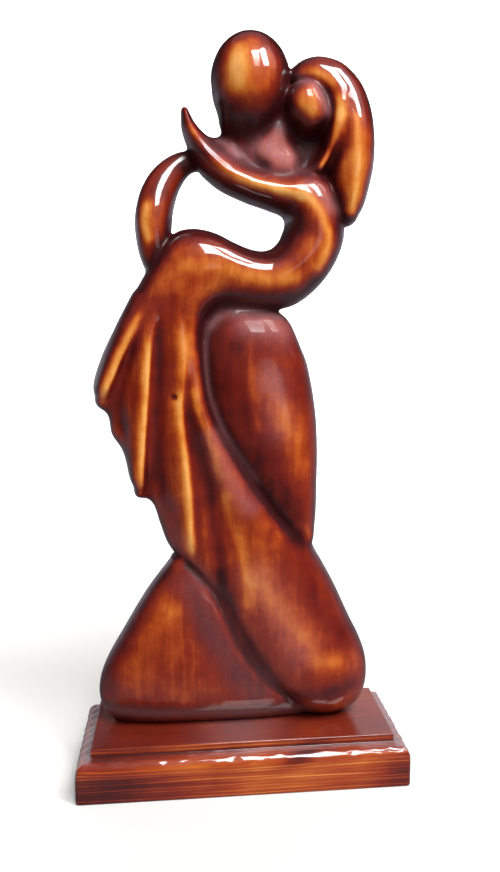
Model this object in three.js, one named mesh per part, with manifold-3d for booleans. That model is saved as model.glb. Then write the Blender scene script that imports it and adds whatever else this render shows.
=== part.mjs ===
// A couple carved from one piece of wood, standing on a routed plinth.
// Millimetres, +Z up, origin at the middle of the plinth's underside. The front faces -Y.
import * as THREE from 'three';
import Module from 'manifold-3d';

const wasm = await Module();
wasm.setup();

// Driving sizes of the plinth
const PLINTH_WIDTH = 180;
const PLINTH_DEPTH = 71;
const SHOULDER_HEIGHT = 22.5;
const STEP_HEIGHT = 4.3;
const STEP_INSET = 7.8;
const SHOULDER_FLAT = 1.4;
const FOOT_ROUNDING = 1.2;
const PLINTH_CORNER = 1.5;
const PLATE_TOP = SHOULDER_HEIGHT + STEP_HEIGHT;

// Torn end grain on the two short edges
const TOOTH_COUNT = 7;
const TOOTH_DEPTH = 1.0;

// Driving sizes of the figure
const SEAT_GAP = 0.3;
const FIGURE_BOTTOM = PLATE_TOP + SEAT_GAP;
const MIDDLE = 4;
const ARM_MIDDLE = MIDDLE + 4;
const WEB_MIDDLE = MIDDLE + 2;

// How finely the forms are divided
const CAP_RINGS = 4;
const END_STEP = 0.02;
const CLEAN_TOLERANCE = 0.06;

// Each form is a row of stations across it. A station is one edge (x, z), the other edge (x, z), half depth.
// Her body is one flowing form: the raised hand, the arm, the shoulder, the back, the waist, the hip, the
// gown's ground and the kneeling leg.
const HER_BODY = [
  [-24.8, 358.3, -29.2, 357.4, 7.5],
  [-21.6, 353, -29.0, 350, 10],
  [-16.4, 347.7, -26.4, 341.8, 12.5],
  [-8.4, 343, -21.2, 330, 14],
  [1.7, 337, -10.7, 320.3, 15],
  [12.7, 332.5, 3.3, 313.8, 16],
  [25.8, 330.7, 15.3, 309.8, 17],
  [39.8, 330.6, 22.8, 307, 18],
  [50.2, 325, 25, 304, 18.5],
  [55.5, 311, 24.8, 301, 19],
  [57.1, 296, 23.5, 297.3, 19],
  [52.1, 281.7, 21.5, 293.3, 19],
  [42.7, 269.2, 17.7, 290, 19],
  [29.8, 259.9, 12.6, 288.7, 19],
  [14, 257, 6, 289.8, 19],
  [0, 258, -2, 293, 19],
  [-10, 259.5, -12, 297.8, 19],
  [-15.5, 261.2, -23, 300, 19.5],
  [-18, 262, -33, 297.7, 19.5],
  [-19.3, 259, -42, 288.3, 19],
  [-20.2, 254.5, -50, 275.5, 18.2],
  [-20.8, 248, -58, 261, 17],
  [-20.5, 240, -65.5, 246, 16],
  [-20, 231, -72, 232, 15],
  [-18.5, 221, -75, 220, 14.5],
  [-16, 210.5, -74, 210.5, 14],
  [-11.5, 200, -70.5, 200.5, 14],
  [-6, 190, -68.8, 191, 14],
  [0, 180, -61.5, 180.5, 14],
  [6, 170.5, -57, 171, 14],
  [13, 160, -54.5, 161, 14],
  [20, 150.5, -47.5, 152, 14],
  [28, 141, -44, 141, 14.2],
  [35, 133, -40, 130, 14.5],
  [41, 124, -33, 120, 15],
  [49, 110, -23, 108, 16.8],
  [56, 97, -14.5, 95, 18.6],
  [62.6, 84.5, -9, 82.5, 19.8],
  [68.5, 72.5, -3.5, 71, 20.2],
  [72.5, 61, 3, 59.5, 20],
  [73.5, 50, 11.5, 48.5, 20],
  [71.8, 40.5, 21, 38.5, 18.5],
  [67.5, 33, 30, 32.5, 13.5],
  [59, FIGURE_BOTTOM, 37, FIGURE_BOTTOM, 7],
];

// The folds stand on the gown's ground. The broad one becomes the kneeling leg.
const LEG_FOLD = [
  [-19, 260, -31, 264, 16],
  [-18.5, 243, -32, 243, 18],
  [-17.5, 228, -31.5, 228, 18.8],
  [-15.5, 212, -29.5, 210, 19],
  [-10, 197, -26.5, 195, 19],
  [-1, 180.5, -20.5, 178, 19],
  [11, 163, -15, 161, 19.2],
  [23, 147, -10, 147, 19.5],
  [34, 133, -6.5, 134, 19.6],
  [44, 119, -4, 119, 19.4],
  [53, 101, -2.5, 101, 18.6],
  [58, 85, 1, 85, 17],
];

const OUTER_FOLD = [
  [-56, 264, -49, 262, 16],
  [-65, 248, -55, 244, 18],
  [-72.5, 233, -60, 229, 18.5],
  [-77.6, 219.5, -65.5, 217, 18],
  [-77.2, 211.5, -68, 209.5, 16.5],
];

const SECOND_FOLD = [
  [-49, 262, -41, 262, 16.5],
  [-54, 245, -42, 245, 18],
  [-58, 228, -43.5, 228, 18.5],
  [-60, 212, -45, 212, 18.5],
  [-61.5, 196, -46, 196, 18.5],
  [-61.3, 180, -47.5, 180, 18],
  [-58.7, 167, -49, 166, 17.5],
  [-57.8, 161, -50.5, 160, 16],
];

const THIRD_FOLD = [
  [-38, 262, -26, 262, 17],
  [-38, 245, -23, 245, 18.3],
  [-37.5, 228, -24.5, 228, 19],
  [-39, 210, -27, 210, 18.8],
  [-40.5, 194, -26.5, 194, 18.5],
  [-40.5, 178, -24.5, 178, 18.5],
  [-38.5, 160, -23, 160, 18.3],
  [-37.5, 143, -22, 143, 18],
  [-35, 130, -21.5, 130, 17],
];

const THIGH = [
  [-14.5, 251.5, 28, 251, 17],
  [-19.3, 240, 33.2, 241, 18.5],
  [-19.8, 228, 37.7, 228, 19],
  [-18, 212, 41.2, 211, 19],
  [-12, 195, 43, 195, 19],
  [-3.5, 178, 43.5, 178, 18.5],
  [7.5, 160.5, 43.2, 160.5, 18],
  [19.5, 146, 42.8, 146, 16.5],
  [31, 135, 41.8, 135, 13],
];

// The wood left behind the grooves, between the waist, the gown and the thigh.
const GROUND = [
  [-26, 268, 17, 268, 12],
  [-27, 252, 14, 252, 12],
  [-26, 225, 12, 225, 12],
  [-22, 205, 15, 205, 12],
  [-12, 185, 25, 185, 12],
  [-2, 165, 32, 165, 12],
  [12, 148, 39, 148, 12],
  [24, 132, 40, 130, 12],
];

const STANDING_LEG = [
  [-38.5, 121, -30, 121, 10],
  [-52, 103, -15, 103, 14.5],
  [-64.5, 82.5, 0, 82.5, 17],
  [-76, 62, 20, 62, 18.5],
  [-79.9, 47, 35, 47, 18],
  [-77.5, 35, 45, 35, 14.5],
  [-71.5, FIGURE_BOTTOM, 45, FIGURE_BOTTOM, 7],
];

const HIS_ARM = [
  [-18, 341, -17, 331, 9],
  [-31, 339.3, -24.6, 328.6, 11],
  [-41.5, 333, -29.6, 322, 12],
  [-49.1, 323.3, -32.5, 314.7, 12.5],
  [-53.4, 311, -34.2, 307, 12.5],
  [-54.2, 299, -35, 298, 12.5],
  [-51.8, 285, -35, 288, 12],
  [-46, 272, -34, 278, 11],
];

const HIS_HEAD = [
  [-4, 341, 14, 341, 5],
  [-8.8, 351, 18, 351, 10],
  [-10, 358, 24, 358, 14.5],
  [-12.7, 366, 27.2, 366, 18.5],
  [-13.4, 374, 27.6, 374, 20],
  [-12.3, 382, 26.3, 382, 20],
];

const HER_FACE = [
  [27.2, 367.2, 42.6, 374, 12],
  [28.2, 358.3, 49.4, 367.6, 14.5],
  [33.7, 352.1, 49.8, 359, 12],
];

const HAIR = [
  [28.8, 377.4, 29.4, 380.6, 12],
  [34, 376.5, 34, 385, 16],
  [40, 374.5, 43.3, 386.9, 18],
  [46.5, 369.5, 55, 383.6, 19],
  [51.5, 362.5, 64.7, 374, 19],
  [54, 355.5, 70.3, 360.7, 19],
  [55.5, 348, 72.4, 345.6, 19],
  [55, 338, 72.2, 332.7, 19],
  [53.3, 327, 70.5, 323.2, 18],
  [53, 316, 67.6, 312.8, 16.5],
  [54.5, 306.5, 63.8, 305.3, 14],
];

const INNER_LOCK = [
  [33.5, 375.5, 35.5, 379, 13],
  [42, 371.8, 46, 378, 16],
  [48, 365.5, 54, 371, 17],
  [50.6, 358.5, 58.5, 359.5, 17],
  [49.5, 351, 57.8, 350.3, 17],
  [46.5, 343.5, 53, 341.8, 16.5],
  [43.2, 336, 48.5, 334.5, 15],
];

const NECK_WEB = [
  [-15, 345.5, -13, 335, 7],
  [-7, 350, -4, 327, 8],
  [8, 360, 10, 322, 8.5],
  [26, 376, 28, 320, 8.5],
  [46, 370, 46, 318, 8.5],
  [58, 356, 56, 318, 9],
];

function smoothCurve(points) {
  return new THREE.CatmullRomCurve3(points, false, 'catmullrom');
}

// Smooth curves through a form's stations. The depth rides in y of the first curve.
function edgesOf(stations) {
  const first = stations.map(([x, z, , , depth]) => new THREE.Vector3(x, depth, z));
  const second = stations.map(([, , x, z]) => new THREE.Vector3(x, 0, z));
  return [smoothCurve(first), smoothCurve(second)];
}

function signedPower(value, power) {
  return Math.sign(value) * Math.abs(value) ** power;
}

// A carved form: rings of points from station to station, with rounded or flat ends.
function carvedForm({ stations, steps, sides, roundness = 2, middle = MIDDLE, startCap = 0, endCap = 0 }) {
  const [first, second] = edgesOf(stations);
  const positions = [];
  const rings = [];

  function addRing(u, out, cap) {
    const a = first.getPoint(u);
    const b = second.getPoint(u);
    const half = new THREE.Vector2((b.x - a.x) / 2, (b.z - a.z) / 2);
    const centre = new THREE.Vector2((a.x + b.x) / 2, (a.z + b.z) / 2);
    const shrink = (1 - out ** roundness) ** (1 / roundness);
    centre.addScaledVector(outwardAt(u, half), out * cap);
    const ring = [];
    const count = out < 1 ? sides : 1;
    for (let k = 0; k < count; k += 1) {
      const angle = (2 * Math.PI * (k + 0.5)) / sides;
      const across = shrink * signedPower(Math.cos(angle), 2 / roundness);
      const deep = shrink * signedPower(Math.sin(angle), 2 / roundness);
      ring.push(positions.length / 3);
      positions.push(centre.x + half.x * across, middle + a.y * deep, centre.y + half.y * across);
    }
    rings.push(ring);
  }

  // The way off the form's nearer end, square to the section there.
  function outwardAt(u, half) {
    const inner = u < 0.5 ? END_STEP : 1 - END_STEP;
    const end = Math.round(u);
    const travel = first.getPoint(end).add(second.getPoint(end));
    travel.sub(first.getPoint(inner)).sub(second.getPoint(inner));
    const outward = new THREE.Vector2(half.y, -half.x).normalize();
    const along = outward.x * travel.x + outward.y * travel.z;
    return outward.multiplyScalar(Math.sign(along));
  }

  for (let i = 0; i < CAP_RINGS && startCap > 0; i += 1) {
    addRing(0, Math.cos((i * Math.PI) / (2 * CAP_RINGS)), startCap);
  }
  for (let i = 0; i <= steps; i += 1) {
    addRing(i / steps, 0, 0);
  }
  for (let i = CAP_RINGS - 1; i >= 0 && endCap > 0; i -= 1) {
    addRing(1, Math.cos((i * Math.PI) / (2 * CAP_RINGS)), endCap);
  }
  return closedMesh(positions, rings);
}

// Triangles between neighbouring rings, and a fan over each end.
function closedMesh(positions, rings) {
  const index = [];
  const fan = (ring, flip) => {
    for (let k = 1; k < ring.length - 1; k += 1) {
      index.push(ring[0], ring[flip ? k + 1 : k], ring[flip ? k : k + 1]);
    }
  };
  for (let r = 1; r < rings.length; r += 1) {
    const low = rings[r - 1];
    const high = rings[r];
    const count = Math.max(low.length, high.length);
    for (let k = 0; k < count; k += 1) {
      const a = low[k % low.length];
      const b = low[(k + 1) % low.length];
      const c = high[k % high.length];
      const d = high[(k + 1) % high.length];
      if (a !== b) index.push(a, b, d);
      if (c !== d) index.push(a, d, c);
    }
  }
  fan(rings[0], true);
  fan(rings[rings.length - 1], false);
  return solid(positions, index);
}

// A solid whose faces point out, whichever way round its rings were made.
function solid(positions, index) {
  let volume = 0;
  const corner = (i) => new THREE.Vector3().fromArray(positions, 3 * i);
  for (let i = 0; i < index.length; i += 3) {
    volume += corner(index[i]).dot(corner(index[i + 1]).cross(corner(index[i + 2])));
  }
  const triVerts = new Uint32Array(volume < 0 ? index.toReversed() : index);
  const vertProperties = new Float32Array(positions);
  return new wasm.Manifold(new wasm.Mesh({ numProp: 3, vertProperties, triVerts }));
}

function geometryOf(manifold) {
  const mesh = manifold.getMesh();
  const geometry = new THREE.BufferGeometry();
  geometry.setAttribute('position', new THREE.BufferAttribute(new Float32Array(mesh.vertProperties), 3));
  geometry.setIndex(new THREE.BufferAttribute(new Uint32Array(mesh.triVerts), 1));
  return geometry;
}

function coupleSolid() {
  const forms = [
    carvedForm({ stations: HER_BODY, steps: 62, sides: 18, roundness: 2.3, startCap: 3.3 }),
    carvedForm({ stations: LEG_FOLD, steps: 16, sides: 12, startCap: 4, endCap: 12 }),
    carvedForm({ stations: OUTER_FOLD, steps: 7, sides: 12, startCap: 3, endCap: 5 }),
    carvedForm({ stations: SECOND_FOLD, steps: 10, sides: 10, startCap: 3, endCap: 4 }),
    carvedForm({ stations: THIRD_FOLD, steps: 10, sides: 10, startCap: 3, endCap: 10 }),
    carvedForm({ stations: THIGH, steps: 12, sides: 18, roundness: 2.2, startCap: 8, endCap: 7 }),
    carvedForm({ stations: GROUND, steps: 7, sides: 8 }),
    carvedForm({ stations: STANDING_LEG, steps: 12, sides: 18, roundness: 2.6, startCap: 3 }),
    carvedForm({ stations: HIS_ARM, steps: 12, sides: 14, middle: ARM_MIDDLE, startCap: 3, endCap: 3 }),
    carvedForm({ stations: HIS_HEAD, steps: 8, sides: 20, endCap: 17 }),
    carvedForm({ stations: HER_FACE, steps: 5, sides: 14, startCap: 5, endCap: 6 }),
    carvedForm({ stations: HAIR, steps: 17, sides: 14, startCap: 1.5, endCap: 6 }),
    carvedForm({ stations: INNER_LOCK, steps: 10, sides: 8, startCap: 1.5, endCap: 3 }),
    carvedForm({ stations: NECK_WEB, steps: 6, sides: 8, middle: WEB_MIDDLE }),
  ];
  let joined = forms[0];
  for (const form of forms.slice(1)) {
    joined = joined.add(form);
  }
  return joined.simplify(CLEAN_TOLERANCE);
}

// The plinth's outline at a height, with rounded upright corners and torn ends.
function plinthRing(inset, height, tooth) {
  const halfWidth = PLINTH_WIDTH / 2 - inset;
  const halfDepth = PLINTH_DEPTH / 2 - inset;
  const points = [];
  for (const side of [1, -1]) {
    for (let i = 0; i <= 2 * TOOTH_COUNT; i += 1) {
      const along = -1 + i / TOOTH_COUNT;
      const corner = i === 0 || i === 2 * TOOTH_COUNT;
      const bite = corner ? PLINTH_CORNER / 2 : (i % 2) * tooth;
      points.push([side * (halfWidth - bite), side * along * (halfDepth - (corner ? 0 : PLINTH_CORNER / 4))]);
    }
  }
  return points.map(([x, y]) => [x, y, height]);
}

function plinthSolid() {
  const rounding = STEP_INSET - SHOULDER_FLAT;
  const profile = [[FOOT_ROUNDING, 0, 0], [0, FOOT_ROUNDING, 0]];
  const arcSteps = 5;
  for (let i = 0; i <= arcSteps; i += 1) {
    const angle = (i / arcSteps) * (Math.PI / 2);
    const inset = rounding * (1 - Math.cos(angle));
    const height = SHOULDER_HEIGHT - rounding * (1 - Math.sin(angle));
    profile.push([inset, height, TOOTH_DEPTH * Math.sin(Math.PI * Math.min(1, (i + 1) / arcSteps))]);
  }
  profile.push([STEP_INSET, SHOULDER_HEIGHT, 0], [STEP_INSET, PLATE_TOP, 0]);
  const positions = [];
  const rings = profile.map(([inset, height, tooth]) => {
    const ring = [];
    for (const point of plinthRing(inset, height, tooth)) {
      ring.push(positions.length / 3);
      positions.push(...point);
    }
    return ring;
  });
  return closedMesh(positions, rings);
}

const figureWood = new THREE.MeshStandardMaterial({ color: 0x8f3a12, roughness: 0.22, metalness: 0 });
const plinthWood = new THREE.MeshStandardMaterial({ color: 0x96411c, roughness: 0.2, metalness: 0 });

const couple = new THREE.Mesh(geometryOf(coupleSolid()), figureWood);
couple.name = 'carved_couple';
const plinth = new THREE.Mesh(geometryOf(plinthSolid()), plinthWood);
plinth.name = 'plinth';

const part = new THREE.Group();
part.add(couple, plinth);

export default part;
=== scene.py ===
"""Looks of a carved wooden couple on a routed plinth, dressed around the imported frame.

The figure is one piece of softwood, carved, sanded, stained and varnished. Its fine surface is grown here
from the same flowing forms as its solid, and the plinth's from the same board and routed edge. Tables of
stations are in millimetres in the frame's own axes, and meshes are in metres.
"""

import sys
import logging
import math
from dataclasses import dataclass, field

import bpy
import numpy as np
from mathutils import Matrix, Vector


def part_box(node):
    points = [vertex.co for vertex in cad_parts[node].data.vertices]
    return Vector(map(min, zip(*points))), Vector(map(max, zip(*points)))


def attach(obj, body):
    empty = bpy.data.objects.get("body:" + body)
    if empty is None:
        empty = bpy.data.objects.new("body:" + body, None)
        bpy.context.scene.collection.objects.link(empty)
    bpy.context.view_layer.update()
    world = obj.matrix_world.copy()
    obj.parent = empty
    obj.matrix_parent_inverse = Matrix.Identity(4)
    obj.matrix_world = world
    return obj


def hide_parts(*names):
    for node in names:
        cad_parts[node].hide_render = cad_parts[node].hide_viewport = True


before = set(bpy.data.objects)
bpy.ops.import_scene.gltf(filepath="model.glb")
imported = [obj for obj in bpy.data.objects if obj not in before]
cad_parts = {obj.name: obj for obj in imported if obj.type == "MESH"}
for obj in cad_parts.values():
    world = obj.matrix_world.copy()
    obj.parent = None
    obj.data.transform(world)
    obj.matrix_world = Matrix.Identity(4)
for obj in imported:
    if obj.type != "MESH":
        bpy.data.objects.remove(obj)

LOG = logging.getLogger("carved_couple")

MM = 0.001
# Height at which the figure's foot is sawn flat, just over the plinth's plate.
FIGURE_BOTTOM = 27.1

# One row is a station across a form: one edge (x, z), the other edge (x, z), half depth.
HER_BODY = (
    (-24.8, 358.3, -29.2, 357.4, 7.5),
    (-21.6, 353, -29.0, 350, 10),
    (-16.4, 347.7, -26.4, 341.8, 12.5),
    (-8.4, 343, -21.2, 330, 14),
    (1.7, 337, -10.7, 320.3, 15),
    (12.7, 332.5, 3.3, 313.8, 16),
    (25.8, 330.7, 15.3, 309.8, 17),
    (39.8, 330.6, 22.8, 307, 18),
    (50.2, 325, 25, 304, 18.5),
    (55.5, 311, 24.8, 301, 19),
    (57.1, 296, 23.5, 297.3, 19),
    (52.1, 281.7, 21.5, 293.3, 19),
    (42.7, 269.2, 17.7, 290, 19),
    (29.8, 259.9, 12.6, 288.7, 19),
    (14, 257, 6, 289.8, 19),
    (1, 258.3, -2, 293, 19),
    (-6.5, 259.2, -12, 297.8, 19),
    (-11, 258.2, -23, 300, 19.5),
    (-14.5, 255.6, -33, 297.7, 19.5),
    (-17, 252, -42, 288.3, 19),
    (-18.8, 248, -50, 275.5, 18.2),
    (-19.8, 243.3, -58, 261, 17.6),
    (-20.2, 238, -65.5, 246, 17),
    (-20, 230.5, -72, 232, 16.4),
    (-18.5, 221, -75, 220, 16),
    (-16, 210.5, -74, 210.5, 15.7),
    (-11.5, 200, -70.5, 200.5, 15.5),
    (-6, 190, -68.8, 191, 15.5),
    (0, 180, -61.5, 180.5, 15.5),
    (6, 170.5, -57, 171, 15.5),
    (13, 160, -54.5, 161, 15.5),
    (20, 150.5, -47.5, 152, 15.6),
    (28, 141, -44, 141, 16.1),
    (35, 133, -40, 130, 16.7),
    (41, 124, -33, 120, 17.3),
    (49, 110, -23, 108, 18.2),
    (56, 97, -14.5, 95, 19),
    (62.6, 84.5, -9, 82.5, 19.8),
    (68.5, 72.5, -3.5, 71, 20.2),
    (72.5, 61, 3, 59.5, 20),
    (73.5, 50, 11.5, 48.5, 20),
    (71.8, 40.5, 21, 38.5, 18.5),
    (67.5, 33, 30, 32.5, 13.5),
    (59, FIGURE_BOTTOM, 37, FIGURE_BOTTOM, 7),
)

LEG_FOLD = (
    (-22, 254, -31, 258, 12),
    (-19.5, 242, -32, 243, 15),
    (-17.5, 228, -31.5, 228, 17),
    (-15.5, 212, -29.5, 210, 18),
    (-10, 197, -26.5, 195, 18.4),
    (-1, 180.5, -20.5, 178, 18.6),
    (11, 163, -15, 161, 18.9),
    (23, 147, -10, 147, 19.2),
    (34, 133, -6.5, 134, 19.4),
    (44, 119, -4, 119, 19.2),
    (53, 101, -2.5, 101, 18.4),
    (58, 85, 1, 85, 16),
)

OUTER_FOLD = (
    (-56, 264, -49, 262, 10),
    (-65, 248, -55, 244, 13.5),
    (-72.5, 233, -60, 229, 15),
    (-77.6, 219.5, -65.5, 217, 15),
    (-77.2, 211.5, -68, 209.5, 12.5),
)

SECOND_FOLD = (
    (-57, 228, -46, 228, 8),
    (-60, 212, -45, 212, 12),
    (-61.5, 196, -46, 196, 14.5),
    (-61.3, 180, -47.5, 180, 15.2),
    (-58.7, 167, -49, 166, 14.8),
    (-57.8, 161, -50.5, 160, 12.5),
)

THIGH = (
    (-5, 258.5, 17, 258, 5),
    (-10.5, 256.3, 23, 255.8, 9.5),
    (-15, 252, 27.6, 251.5, 13.4),
    (-18, 245.5, 31, 245, 16),
    (-19.6, 237, 34.3, 237, 17.5),
    (-20, 228, 37.7, 228, 18.4),
    (-18, 212, 41.2, 211, 18.8),
    (-12, 195, 43, 195, 18.8),
    (-3.5, 178, 43.5, 178, 18.4),
    (7.5, 160.5, 43.2, 160.5, 17.8),
    (19.5, 146, 42.8, 146, 16.3),
    (31, 135, 41.8, 135, 13),
)

GROUND = (
    (-24, 262, 20, 262, 9),
    (-26, 250, 16, 250, 10),
    (-27, 236, 12, 236, 12),
    (-26, 222, 12, 222, 13.2),
    (-22, 205, 15, 205, 14),
    (-12, 185, 25, 185, 14.3),
    (-2, 165, 32, 165, 14.3),
    (12, 148, 39, 148, 14.2),
    (24, 132, 40.5, 130, 13),
    (31, 122, 42, 120, 11),
)

STANDING_LEG = (
    (-38.5, 121, -22, 121, 10),
    (-52, 103, -2, 103, 14.5),
    (-64.5, 82.5, 14, 82.5, 16.6),
    (-76, 62, 32, 62, 17.8),
    (-79.9, 47, 44, 47, 17.6),
    (-77.5, 35, 47, 35, 14.5),
    (-71.5, FIGURE_BOTTOM, 46, FIGURE_BOTTOM, 8),
)

HIS_ARM = (
    (-18, 341, -17, 331, 4.5),
    (-31, 339.3, -24.6, 328.6, 6),
    (-41.5, 333, -29.6, 322, 8.2),
    (-49.1, 323.3, -32.5, 314.7, 11),
    (-53.4, 311, -34.2, 307, 13.6),
    (-54.2, 299, -35, 298, 14.6),
    (-51.8, 285, -35, 288, 13.8),
    (-46, 272, -34, 278, 12),
)

HIS_HEAD = (
    (-4, 341, 14, 341, 4),
    (-8.8, 351, 18, 351, 10),
    (-10.2, 358, 24, 358, 15.8),
    (-12.6, 366, 27.2, 366, 19.6),
    (-13.5, 375, 27.7, 375, 20.6),
)

HER_FACE = (
    (24.4, 355, 46.6, 366, 18.4),
    (25, 353.8, 47.2, 364.8, 18.4),
)

HAIR = (
    (26, 374.5, 27.5, 380, 7.5),
    (31, 372, 34, 385, 10.5),
    (35.5, 370.5, 43.3, 386.9, 13),
    (40, 367.5, 55, 383.6, 14.8),
    (44, 363.5, 64.7, 374, 16.4),
    (47, 357.5, 70.3, 360.7, 18),
    (47.5, 350.5, 72.4, 345.6, 19.2),
    (45.5, 341, 72.2, 332.7, 19.4),
    (44.5, 331, 70.5, 323.2, 18.6),
    (46, 321.5, 67.6, 312.8, 17),
    (49.5, 311, 63.8, 305.3, 14),
)

INNER_LOCK = (
    (44.5, 362, 58, 362, 17.4),
    (44.3, 354.5, 58, 353, 18.2),
    (43, 347.5, 55.5, 345.5, 18.2),
    (41, 341, 53, 339.5, 17.6),
    (38.8, 334.5, 49.5, 333, 16.6),
    (37.5, 329.5, 45.5, 328.5, 15),
)

NECK_WEB = (
    (-16.5, 344.5, -14.5, 337, 4),
    (-7, 349, -4, 327, 8),
    (8, 362, 10, 322, 8),
    (22, 379, 26, 320, 8),
    (34, 379, 36, 319, 6.5),
    (46, 370, 46, 318, 6),
    (58, 352, 56, 318, 6),
)

NECK_FACET = (
    (21, 356, 24.5, 356, 8),
    (14.5, 349, 26.5, 349, 9.6),
    (9, 342.5, 29, 342, 10.8),
    (8, 336, 31.5, 335.5, 12),
    (14, 330.5, 30, 330, 12.5),
)


def linear(hex_colour: str) -> tuple[float, float, float, float]:
    """Turns an sRGB hex colour to the renderer's linear values.

    Args:
        hex_colour: Colour as #rrggbb.

    Returns:
        Red, green, blue and a full alpha.
    """
    parts = [int(hex_colour[i : i + 2], 16) / 255 for i in (1, 3, 5)]
    curve = [c / 12.92 if c <= 0.04045 else ((c + 0.055) / 1.055) ** 2.4 for c in parts]
    return (*curve, 1.0)


def add(
    tree: bpy.types.NodeTree, kind: str, settings: dict | None = None, links: dict | None = None
) -> bpy.types.Node:
    """Adds a node to a tree.

    Args:
        tree: Tree that gets the node.
        kind: Type name of the node.
        settings: Values by name, of the node itself or of its input sockets.
        links: Output sockets by the name or number of the input socket that they feed.

    Returns:
        The new node.
    """
    made = tree.nodes.new(kind)
    for name, value in (settings or {}).items():
        if isinstance(name, str) and hasattr(made, name):
            setattr(made, name, value)
        else:
            made.inputs[name].default_value = value
    for name, socket in (links or {}).items():
        tree.links.new(socket, made.inputs[name])
    return made


def new_material(name: str) -> tuple[bpy.types.Material, bpy.types.NodeTree, bpy.types.NodeSocket]:
    """Makes a material with an empty node tree.

    Args:
        name: Name of the material.

    Returns:
        The material, its tree, and the socket with the place on the object, in metres.
    """
    material = bpy.data.materials.new(name)
    material.use_nodes = True
    tree = material.node_tree
    tree.nodes.clear()
    return material, tree, add(tree, "ShaderNodeTexCoord").outputs["Object"]


def smooth_step(low: float, high: float, value: np.ndarray) -> np.ndarray:
    """Rises smoothly from 0 at low to 1 at high."""
    t = np.clip((value - low) / (high - low), 0, 1)
    return t * t * (3 - 2 * t)


def smooth_path(rows: np.ndarray, samples: int) -> np.ndarray:
    """Runs a smooth curve through rows of numbers.

    Args:
        rows: One place on the curve a row.
        samples: Steps between two rows.

    Returns:
        The curve's places, one a row, with the last row at its end.
    """
    points = np.vstack([2 * rows[0] - rows[1], rows, 2 * rows[-1] - rows[-2]])
    t = (np.arange(samples) / samples)[:, None]
    pieces = []
    for i in range(len(points) - 3):
        p0, p1, p2, p3 = points[i : i + 4]
        slope_in, slope_out = (p2 - p0) / 2, (p3 - p1) / 2
        cubic = 2 * p1 - 2 * p2 + slope_in + slope_out
        square = -3 * p1 + 3 * p2 - 2 * slope_in - slope_out
        pieces.append(p1 + t * (slope_in + t * (square + t * cubic)))
    return np.vstack([*pieces, points[-2:-1]])


class Unevenness:
    """Seeded smooth noise in space, for what a hand and sandpaper leave."""

    CELLS = 32

    def __init__(self, seed: int) -> None:
        """Draws the noise's lattice from a seed."""
        self.lattice = np.random.default_rng(seed).uniform(-1, 1, (self.CELLS,) * 3)

    def at(self, points: np.ndarray, wave: tuple[float, float, float]) -> np.ndarray:
        """Samples the noise.

        Args:
            points: Places in millimetres, one a row.
            wave: Size of one bump along X, Y and Z, in millimetres.

        Returns:
            One value a place, from -1 to 1.
        """
        scaled = points / np.array(wave) + 7.3
        low = np.floor(scaled).astype(int)
        part = scaled - low
        part = part * part * (3 - 2 * part)
        total = np.zeros(len(points))
        for corner in np.ndindex(2, 2, 2):
            weight = np.prod(np.where(corner, part, 1 - part), axis=1)
            x, y, z = ((low + corner) % self.CELLS).T
            total += weight * self.lattice[x, y, z]
        return total


@dataclass(frozen=True)
class Stroke:
    """A soft band along a curve on the front: a stroke of the gouge or of the cloth that rubs the stain, and
    also painted shade and sheen.

    Attributes:
        amount: What it adds in its middle, in millimetres of height or as a stain value.
        before: Width of its soft edge, on the side of -X where it runs down.
        points: Places (x, z) along it, in millimetres.
        after: Width of the edge on its other side, if not the same.
        rise: Length over which it sets in.
        fall: Length over which it fades out.
    """

    amount: float
    before: float
    points: tuple
    after: float | None = None
    rise: float = 0.0
    fall: float = 0.0

    SAMPLES = 10
    # Widths beyond which a stroke adds next to nothing.
    REACH = 2.2
    # Share of a step by which a place may lie past the nearest sample and still be beside the curve.
    BESIDE = 0.6
    BATCH = 8192

    def weight(self, x: np.ndarray, z: np.ndarray) -> np.ndarray:
        """Works out what the stroke adds.

        Args:
            x: X of each place, in millimetres.
            z: Z of each place.

        Returns:
            One value a place.
        """
        path = smooth_path(np.array(self.points, float), self.SAMPLES)
        after = self.before if self.after is None else self.after
        reach = self.REACH * max(self.before, after)
        low, high = path.min(0) - reach, path.max(0) + reach
        total = np.zeros(len(x))
        near = np.flatnonzero((x > low[0]) & (x < high[0]) & (z > low[1]) & (z < high[1]))
        steps = np.hypot(*np.diff(path, axis=0).T)
        gone = np.concatenate([[0], np.cumsum(steps)])
        way = np.gradient(path, axis=0)
        way /= np.hypot(*way.T)[:, None]
        for part in np.array_split(near, 1 + len(near) // self.BATCH):
            dx = x[part, None] - path[:, 0]
            dz = z[part, None] - path[:, 1]
            best = (dx**2 + dz**2).argmin(axis=1)
            row = np.arange(len(part))
            dx, dz, turn = dx[row, best], dz[row, best], way[best]
            side = turn[:, 0] * dz - turn[:, 1] * dx
            along = turn[:, 0] * dx + turn[:, 1] * dz
            past = np.maximum(0, np.abs(along) - self.BESIDE * steps.max())
            width = np.where(side < 0, self.before, after)
            share = np.exp(-(side**2 + past**2) / width**2)
            at = np.clip(gone[best] + along, 0, gone[-1])
            if self.rise:
                share *= smooth_step(0, self.rise, at)
            if self.fall:
                share *= smooth_step(0, self.fall, gone[-1] - at)
            total[part] = self.amount * share
        return total


def laid(strokes: tuple[Stroke, ...], x: np.ndarray, z: np.ndarray) -> np.ndarray:
    """Adds up what all strokes of a table add at each place (x, z)."""
    return sum(stroke.weight(x, z) for stroke in strokes)


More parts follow.
